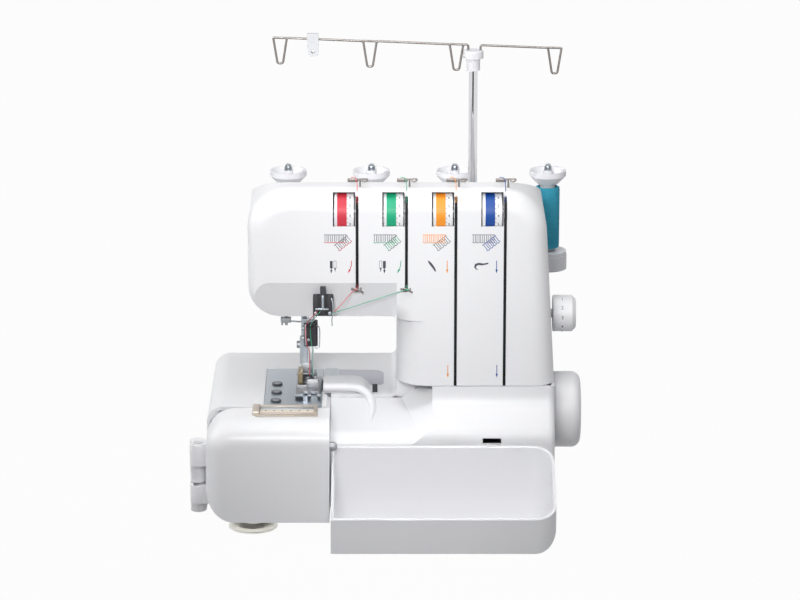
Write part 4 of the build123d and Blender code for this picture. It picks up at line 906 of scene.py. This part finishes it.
def add_seam_guide():
    """The seam guide's channel, rails, cream strip and dots."""
    (x, y, z), high = node_box("seam_guide")
    deck = z + 1.3
    bm = bmesh.new()
    bar(bm, (x + 5.0, high.y - 9.5, deck - 0.3), (high.x - 3.0, high.y - 4.6, deck + 0.9), bevel=0.25)
    piece("seam_channel", bm, "satin_steel", "side_cover")
    bm = bmesh.new()
    bar(bm, (x + 1.0, y, z), (high.x, high.y, deck), bevel=0.4)
    bar(bm, (x - 2.0, y + 3.0, z), (x + 4.4, high.y - 1.0, deck + 2.8), bevel=1.3, segments=4)
    bar(bm, (x + 2.0, high.y - 4.0, deck - 0.4), (high.x, high.y - 0.6, deck + 1.8))
    bar(bm, (high.x - 3.0, y + 3.0, deck - 0.4), (high.x, high.y - 0.6, deck + 2.2))
    bar(bm, (x + 2.0, y + 4.2, deck - 0.4), (high.x, y + 6.2, deck + 0.9), bevel=0.4)
    obj = piece("seam_rails", bm, "guide_nickel", "side_cover")
    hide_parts("seam_guide")
    bm = bmesh.new()
    bar(bm, (x + 5.0, y + 6.8, deck - 0.2), (high.x - 3.4, high.y - 10.0, deck + 0.5), bevel=0.2)
    piece("seam_strip", bm, "strip_cream", "side_cover")
    bm = bmesh.new()
    for dot in range(6):
        place = (x + 9.4 + 7.2 * dot, y + 12.4, deck + 0.4)
        disc(bm, place, (0, 0, 1), 0.9, 0.25, bevel=0.1, sides=16)
    piece("seam_dots", bm, "printed_ink", "side_cover")


def add_side_cover():
    """The wall and bridge beside the side cover, the cover's lip and its round hinge barrels."""
    plate_end = node_box("needle_plate")[1].x + 0.3
    low, high = node_box("side_cover")
    wall = high.x + 2.3
    bm = bmesh.new()
    bar(bm, (high.x + 0.25, low.y + 41.5, 15.0), (wall, -57.5, 97.0), bevel=0.2)
    slab(bm, -15.2, [(plate_end, 99.6), (plate_end, 94.0), (wall, 90.0), (wall, 95.4)], 44.6)
    piece("works_partition", bm, "casing_white")
    skin = side_skin()
    bm = bmesh.new()
    for face in skin.faces:
        if face.normal.x > 0.9 and face.calc_center_median().x > high.x - 0.05:
            bm.faces.new([bm.verts.new(vert.co) for vert in face.verts])
    skin.free()
    bmesh.ops.remove_doubles(bm, verts=bm.verts, dist=0.001)
    raised(bm, list(bm.faces), (2.4, 0, 0))
    piece("side_cover_lip", bm, "casing_white", "side_cover")
    bm = bmesh.new()
    for bottom, top, edge in HINGE_BARRELS:
        place = (low.x + 7.1, low.y + 27.4, bottom)
        disc(bm, place, (0, 0, 1), 7.0, top - bottom, bevel=edge, sides=40)
    piece("hinge_barrels", bm, "casing_white", "side_cover")


def add_chute():
    """The knife guard's hood, and the fin that leads on from it over the looper cover."""
    low, high = node_box("knife_guard")
    bm = bmesh.new()
    slab(bm, high.y, [(low.x, 105.0), *HOOD_ARCH, (low.x, 109.0)], high.y + 17.0)
    bar(bm, (low.x, -16.6, 99.6), (-20.5, -14.6, 106.0), bevel=0.3)
    bar(bm, (-49.5, -20.2, 96.0), (-42.0, -14.8, 99.8), bevel=0.3)
    route = smooth_path([(low.x, *CHUTE_SPINE[0][1:]), *CHUTE_SPINE], CHUTE_STEPS)
    split = CHUTE_STEPS * FIXED_SPANS
    tube(bm, route[:split + 1], CHUTE_RADIUS, sides=20)
    obj = piece("guard_hood", bm, "casing_white", angle=50.0)
    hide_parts("knife_guard")
    bm = bmesh.new()
    count = len(route) - 1 - split
    tube(bm, route[split:], [CHUTE_RADIUS - 2.2 * (k / count) ** 2 for k in range(count + 1)], sides=20)
    piece("chute_fin", bm, "casing_white", "looper_cover", angle=50.0)


def add_flange():
    """The bed's rounded flange behind the side cover."""
    corner = node_box("base_casing")[0]
    turns = [radians(180.0 - 15.0 * step) for step in range(7)]

    def edge(left, top, bend):
        round_part = [(left + bend + bend * cos(turn), top - bend + bend * sin(turn)) for turn in turns]
        return [(left, FLANGE_FOOT), *round_part, (FLANGE_END, top)]

    width = 7.0
    outer = edge(corner.x + 3.0, FLANGE_TOP, 11.0)
    inner = edge(corner.x + 3.0 + width, FLANGE_TOP - width, 6.0)
    bm = bmesh.new()
    for corners in zip(outer, outer[1:], inner[1:], inner):
        slab(bm, corner.y + 2.6, corners, 2.0)
    bmesh.ops.remove_doubles(bm, verts=bm.verts, dist=0.01)
    piece("bed_flange", bm, "casing_white")


def add_wires():
    """The spool pins' wire loops, and the bridges that close the tree's loops."""
    pin_low, pin_high = node_box("spool_pins")
    y, foot = (pin_low.y + pin_high.y) / 2 - 2.0, node_box("idle_caps")[1].z - 4.0
    half_loop = ((2.5, 0.0), (2.6, 6.5), (1.9, 9.2))
    bm = bmesh.new()
    for place in PINS:
        path = [(place - reach, y, foot + rise) for reach, rise in half_loop] + [(place, y, foot + 10.2)]
        path += [(place + reach, y, foot + rise) for reach, rise in reversed(half_loop)]
        wire(bm, path, 0.7)
    piece("pin_loops", bm, "foot_steel", angle=60.0)
    slope = -LOOP_FALL / (LOOPS[-1] - LOOPS[0])
    bm = bmesh.new()
    for place in LOOPS:
        ends = [(x, 108.0, LOOP_LEVEL + slope * (x - LOOPS[0])) for x in (place - 6.2, place + 6.2)]
        tube(bm, ends, 1.0, sides=12)
    piece("loop_bridges", bm, "guide_wire", "thread_tree")


class SERGER_OT_bed(bpy.types.Operator):
    """Lay the bed's plates, the seam guide's scale, the chute's fin, the covers' lips and the stand's wires"""

    bl_idname = "serger.bed"
    bl_label = "Bed and covers"

    def execute(self, context):
        add_plates()
        add_seam_guide()
        add_side_cover()
        add_chute()
        add_flange()
        add_wires()
        return {"FINISHED"}


# Stage, in metres

FLOOR_SIZE = 12.0
FLOOR_WHITE = 0.97  # share of plain white in what the camera sees of the floor
SOFT_LIGHT = 0.2  # the world's strength
LAMPS = (  # name, place, size, power, spread in degrees, height aimed at over the origin
    ("key", (-0.15, -1.5, 0.85), 0.35, 0.8, 32.0, 0.34),
    ("fill", (1.3, -1.0, 1.0), 1.0, 0.9, 180.0, 0.17),
    ("top", (0.05, -0.4, 1.7), 1.3, 9.5, 180.0, 0.17),
    ("side", (-1.1, 0.12, 0.6), 0.5, 5.0, 180.0, 0.1),
    ("low", (0.12, -0.5, 1.3), 0.12, 0.065, 22.0, -0.416),
)
CARD = ((-0.35, -0.9, 0.0), (0.3, -0.9, 0.0), (0.3, -0.9, 0.26), (-0.35, -0.9, 0.26))


def stage_material(name, colour):
    """A matt material, its node tree and its shader's output."""
    material = bpy.data.materials.new(name)
    material.use_nodes = True
    shader = material.node_tree.nodes["Principled BSDF"]
    shader.inputs["Base Color"].default_value = colour
    shader.inputs["Roughness"].default_value = 0.9
    return material, material.node_tree, shader.outputs["BSDF"]


def seen_rays(tree):
    """Camera, glossy and transmission rays, which see plain white."""
    rays = tree.nodes.new("ShaderNodeLightPath").outputs
    direct = reckon(tree, "MAXIMUM", rays["Is Camera Ray"], rays["Is Glossy Ray"])
    return reckon(tree, "MAXIMUM", direct, rays["Is Transmission Ray"])


def add_floor():
    """A pale floor that is white to the camera and greyer to the light."""
    bm = bmesh.new()
    bmesh.ops.create_grid(bm, x_segments=1, y_segments=1, size=FLOOR_SIZE)
    mesh = bpy.data.meshes.new("floor")
    bm.to_mesh(mesh)
    bm.free()
    floor = placed("floor", mesh)
    material, tree, matt = stage_material("floor_white", (0.3, 0.3, 0.31, 1.0))
    glow = tree.nodes.new("ShaderNodeEmission")
    share = reckon(tree, "MULTIPLY", seen_rays(tree), FLOOR_WHITE)
    mix_shaders(tree, share, matt, glow.outputs["Emission"], "Material Output")
    mesh.materials.append(material)


def add_world(scene):
    """A white background to the camera, and a weak soft light."""
    world = bpy.data.worlds.new("studio")
    scene.world = world
    world.use_nodes = True
    tree = world.node_tree
    soft = tree.nodes["Background"]
    soft.inputs["Color"].default_value = (0.95, 0.96, 1.0, 1.0)
    soft.inputs["Strength"].default_value = SOFT_LIGHT
    white = tree.nodes.new("ShaderNodeBackground")
    white.inputs["Color"].default_value = (1.0, 1.0, 1.0, 1.0)
    mix_shaders(tree, seen_rays(tree), soft.outputs["Background"], white.outputs["Background"], "World Output")


def add_lamps():
    """Area lamps, aimed at heights over the origin."""
    for name, place, size, power, spread, height in LAMPS:
        light = bpy.data.lights.new(name, "AREA")
        light.size = size
        light.energy = power
        light.spread = radians(spread)
        lamp = placed(name, light)
        lamp.location = place
        aim = Vector((0.0, 0.0, height)) - Vector(place)
        lamp.rotation_euler = aim.to_track_quat("-Z", "Y").to_euler()


def add_card():
    """A dark card in front that only reflections see."""
    mesh = bpy.data.meshes.new("dark_card")
    mesh.from_pydata(CARD, [], [(0, 1, 2, 3)])
    card = placed("dark_card", mesh)
    material, tree, dark = stage_material("card_black", (0.02, 0.02, 0.02, 1.0))
    clear = tree.nodes.new("ShaderNodeBsdfTransparent")
    rays = tree.nodes.new("ShaderNodeLightPath")
    mix_shaders(tree, rays.outputs["Is Glossy Ray"], clear.outputs["BSDF"], dark, "Material Output")
    mesh.materials.append(material)


def add_camera(scene):
    """A long lens from the front, a little above."""
    camera = bpy.data.cameras.new("camera")
    camera.lens = 169.9
    camera.sensor_width = 36.0
    camera.shift_x = 0.0156
    camera.shift_y = 0.0406
    camera.clip_end = 40.0
    eye = placed("camera", camera)
    eye.location = (0.0, -3.1722, 1.0596)
    eye.rotation_euler = (radians(74.0), 0.0, 0.0)
    scene.camera = eye


class SERGER_OT_stage(bpy.types.Operator):
    """Set the floor, the light and the camera"""

    bl_idname = "serger.stage"
    bl_label = "Stage"

    def execute(self, context):
        add_floor()
        add_world(context.scene)
        add_lamps()
        add_card()
        add_camera(context.scene)
        context.scene.view_settings.view_transform = "Standard"
        return {"FINISHED"}


OPERATORS = (
    SERGER_OT_finishes, SERGER_OT_spool, SERGER_OT_threads, SERGER_OT_guides, SERGER_OT_scales, SERGER_OT_marks,
    SERGER_OT_needle_works, SERGER_OT_bed, SERGER_OT_stage,
)


class SERGER_PT_panel(bpy.types.Panel):
    """Lists the steps that dress the serger"""

    bl_idname = "SERGER_PT_panel"
    bl_label = "Serger"
    bl_space_type = "VIEW_3D"
    bl_region_type = "UI"
    bl_category = "Serger"

    def draw(self, context):
        for operator in OPERATORS:
            self.layout.operator(operator.bl_idname)
        for group in looks(context):
            for name in group.__annotations__:
                self.layout.prop(group, name)


CLASSES = (SergerColours, SergerSizes, *OPERATORS, SERGER_PT_panel)


def register():
    for item in CLASSES:
        bpy.utils.register_class(item)
    bpy.types.Scene.serger_colours = bpy.props.PointerProperty(type=SergerColours)
    bpy.types.Scene.serger_sizes = bpy.props.PointerProperty(type=SergerSizes)


def unregister():
    del bpy.types.Scene.serger_sizes
    del bpy.types.Scene.serger_colours
    for item in reversed(CLASSES):
        bpy.utils.unregister_class(item)


def main():
    register()
    bpy.ops.serger.finishes()
    bpy.ops.serger.spool()
    bpy.ops.serger.threads()
    bpy.ops.serger.guides()
    bpy.ops.serger.scales()
    bpy.ops.serger.marks()
    bpy.ops.serger.needle_works()
    bpy.ops.serger.bed()
    bpy.ops.serger.stage()


if __name__ == "__main__":
    main()
